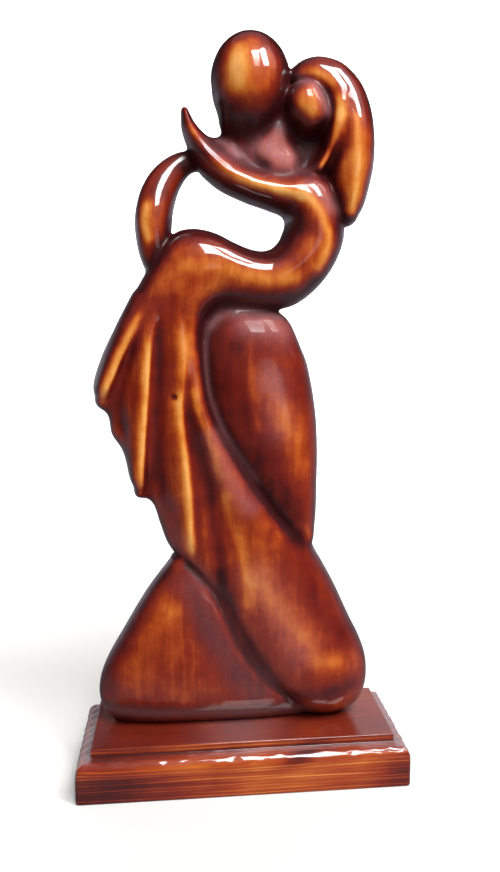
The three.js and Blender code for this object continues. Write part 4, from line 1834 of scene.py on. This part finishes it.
@dataclass
class Studio:
    """The pale ground, the soft lights, the room and the camera.

    Attributes:
        camera_place: Place of the lens, in millimetres.
        camera_yaw: Turn of the view to the left, in degrees.
        camera_pitch: How far it looks down.
        camera_roll: How far it is tilted.
        lens: Focal length on a sensor 36 mm wide.
        lights: Two panes of a window, and a lamp on the backdrop.
        room_light: Strength of the light from all sides.
        glows: Brighter parts of the room: direction, angles in degrees where each begins to fade and where
            it ends, and strength.
        ground: Radius of the flat cloth, radius of its sweep, height of its wall, in metres, and number of
            points round it.
        sweep: Where the cloth begins to rise and where it rises in full, as Y on a circle of radius 1.
    """

    camera_place: tuple[float, float, float] = (-33.1, -412.6, 247.5)
    camera_yaw: float = -5.40
    camera_pitch: float = 7.96
    camera_roll: float = -0.19
    lens: float = 31.58
    lights: tuple[Softbox, ...] = (
        Softbox("window_left_pane", (0, 0, 0.2), (0.166, -0.634, 0.756), 1.5, 0.40, 0.80, 18.3),
        Softbox("window_right_pane", (0, 0, 0.2), (0.481, -0.445, 0.756), 1.5, 0.40, 0.80, 18.3),
        Softbox("backdrop_light", (0, 1.7, 0.3), (0, -0.8, 0.7), 1.06, 3.0, 0.4, 50),
    )
    room_light: float = 0.035
    glows: tuple = (
        ((0.0, 1.0, 0.2), 30, 100, 0.22),
        ((-0.2, -0.6, 0.8), 20, 75, 0.09),
        ((0.33, -0.92, -0.05), 6, 17, 0.9),
        ((0.65, -0.15, 0.6), 8, 27, 0.7),
    )
    ground: tuple = (1.1, 0.9, 2.4, 96)
    sweep: tuple[float, float] = (-0.45, 0.1)

    def build(self) -> None:
        """Makes the ground, the lights, the room and the camera."""
        self._ground()
        for light in self.lights:
            light.build()
        self._world()
        self._camera()

    def _ground(self) -> None:
        """Lays the cloth: flat under and before the figure, and swept up far behind it."""
        flat, cove, wall, sides = self.ground
        turns = np.arange(13) / 12 * math.pi / 2
        lying = [0.05, 0.3, 0.7, flat, *(flat + cove * turns), flat + cove * math.pi / 2 + wall]
        radii = [0.05, 0.3, 0.7, flat, *(flat + cove * np.sin(turns)), flat + cove]
        heights = [0, 0, 0, 0, *(cove * (1 - np.cos(turns))), cove + wall]
        verts = [(0.0, 0.0, 0.0)]
        for far, radius, height in zip(lying, radii, heights):
            for k in range(sides):
                angle = 2 * math.pi * k / sides
                raised = float(smooth_step(*self.sweep, np.array(math.sin(angle))))
                out = far + (radius - far) * raised
                verts.append((out * math.cos(angle), out * math.sin(angle), height * raised))
        faces = [(0, 1 + k, 1 + (k + 1) % sides) for k in range(sides)]
        for r in range(len(radii) - 1):
            for k in range(sides):
                a, b = 1 + r * sides + k, 1 + r * sides + (k + 1) % sides
                faces.append((a, a + sides, b + sides, b))
        mesh = bpy.data.meshes.new("cloth_ground")
        mesh.from_pydata(verts, [], faces)
        mesh.shade_smooth()
        mesh.materials.append(PaleCloth().build())
        ground = bpy.data.objects.new("cloth_ground", mesh)
        bpy.context.scene.collection.objects.link(ground)

    def _world(self) -> None:
        """Sets a room that is bright behind and above and dim in front, and pale where the camera looks."""
        world = bpy.data.worlds.new("room")
        bpy.context.scene.world = world
        world.use_nodes = True
        tree = world.node_tree
        tree.nodes.clear()
        way = add(tree, "ShaderNodeTexCoord").outputs["Generated"]
        light = add(tree, "ShaderNodeValue")
        light.outputs[0].default_value = self.room_light
        total = light.outputs[0]
        for direction, inner, outer, strength in self.glows:
            unit = tuple(Vector(direction).normalized())
            turn = add(tree, "ShaderNodeVectorMath", {"operation": "DOT_PRODUCT", 1: unit}, {0: way})
            glow = add(
                tree, "ShaderNodeMapRange",
                {"interpolation_type": "SMOOTHSTEP", "From Min": math.cos(math.radians(outer)),
                 "From Max": math.cos(math.radians(inner)), "To Max": strength},
                {"Value": turn.outputs["Value"]},
            )
            added = add(tree, "ShaderNodeMath", {"operation": "ADD"}, {0: total, 1: glow.outputs["Result"]})
            total = added.outputs[0]
        seen = add(tree, "ShaderNodeLightPath").outputs["Is Camera Ray"]
        room = add(tree, "ShaderNodeBackground", {"Color": linear("#f4f3fb")}, {"Strength": total})
        pale = add(tree, "ShaderNodeBackground", {"Color": linear("#fbfbfa"), "Strength": 1.0})
        mix = add(tree, "ShaderNodeMixShader", None, {0: seen, 1: room.outputs[0], 2: pale.outputs[0]})
        add(tree, "ShaderNodeOutputWorld", None, {"Surface": mix.outputs[0]})

    def _camera(self) -> None:
        """Places the camera where the plinth's corners say that it stood."""
        yaw, pitch, roll = (math.radians(a) for a in (self.camera_yaw, self.camera_pitch, self.camera_roll))
        ahead = Vector((-math.sin(yaw) * math.cos(pitch), math.cos(yaw) * math.cos(pitch), -math.sin(pitch)))
        right = Vector((math.cos(yaw), math.sin(yaw), 0))
        up = right.cross(ahead)
        across = right * math.cos(roll) + up * math.sin(roll)
        upward = up * math.cos(roll) - right * math.sin(roll)
        data = bpy.data.cameras.new("camera")
        data.lens = self.lens
        data.sensor_width = 36
        data.sensor_fit = "AUTO"
        camera = bpy.data.objects.new("camera", data)
        axes = Matrix((across, upward, -ahead)).transposed()
        camera.matrix_world = Matrix.Translation(Vector(self.camera_place) * MM) @ axes.to_4x4()
        bpy.context.scene.collection.objects.link(camera)
        bpy.context.scene.camera = camera


def main() -> None:
    """Builds the studio and the pieces in order."""
    logging.basicConfig(level=logging.INFO, format="%(message)s", stream=sys.stdout)
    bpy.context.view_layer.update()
    bpy.context.scene.view_settings.view_transform = "Standard"
    Studio().build()
    Plinth().build()
    Couple().build()


if __name__ == "__main__":
    main()
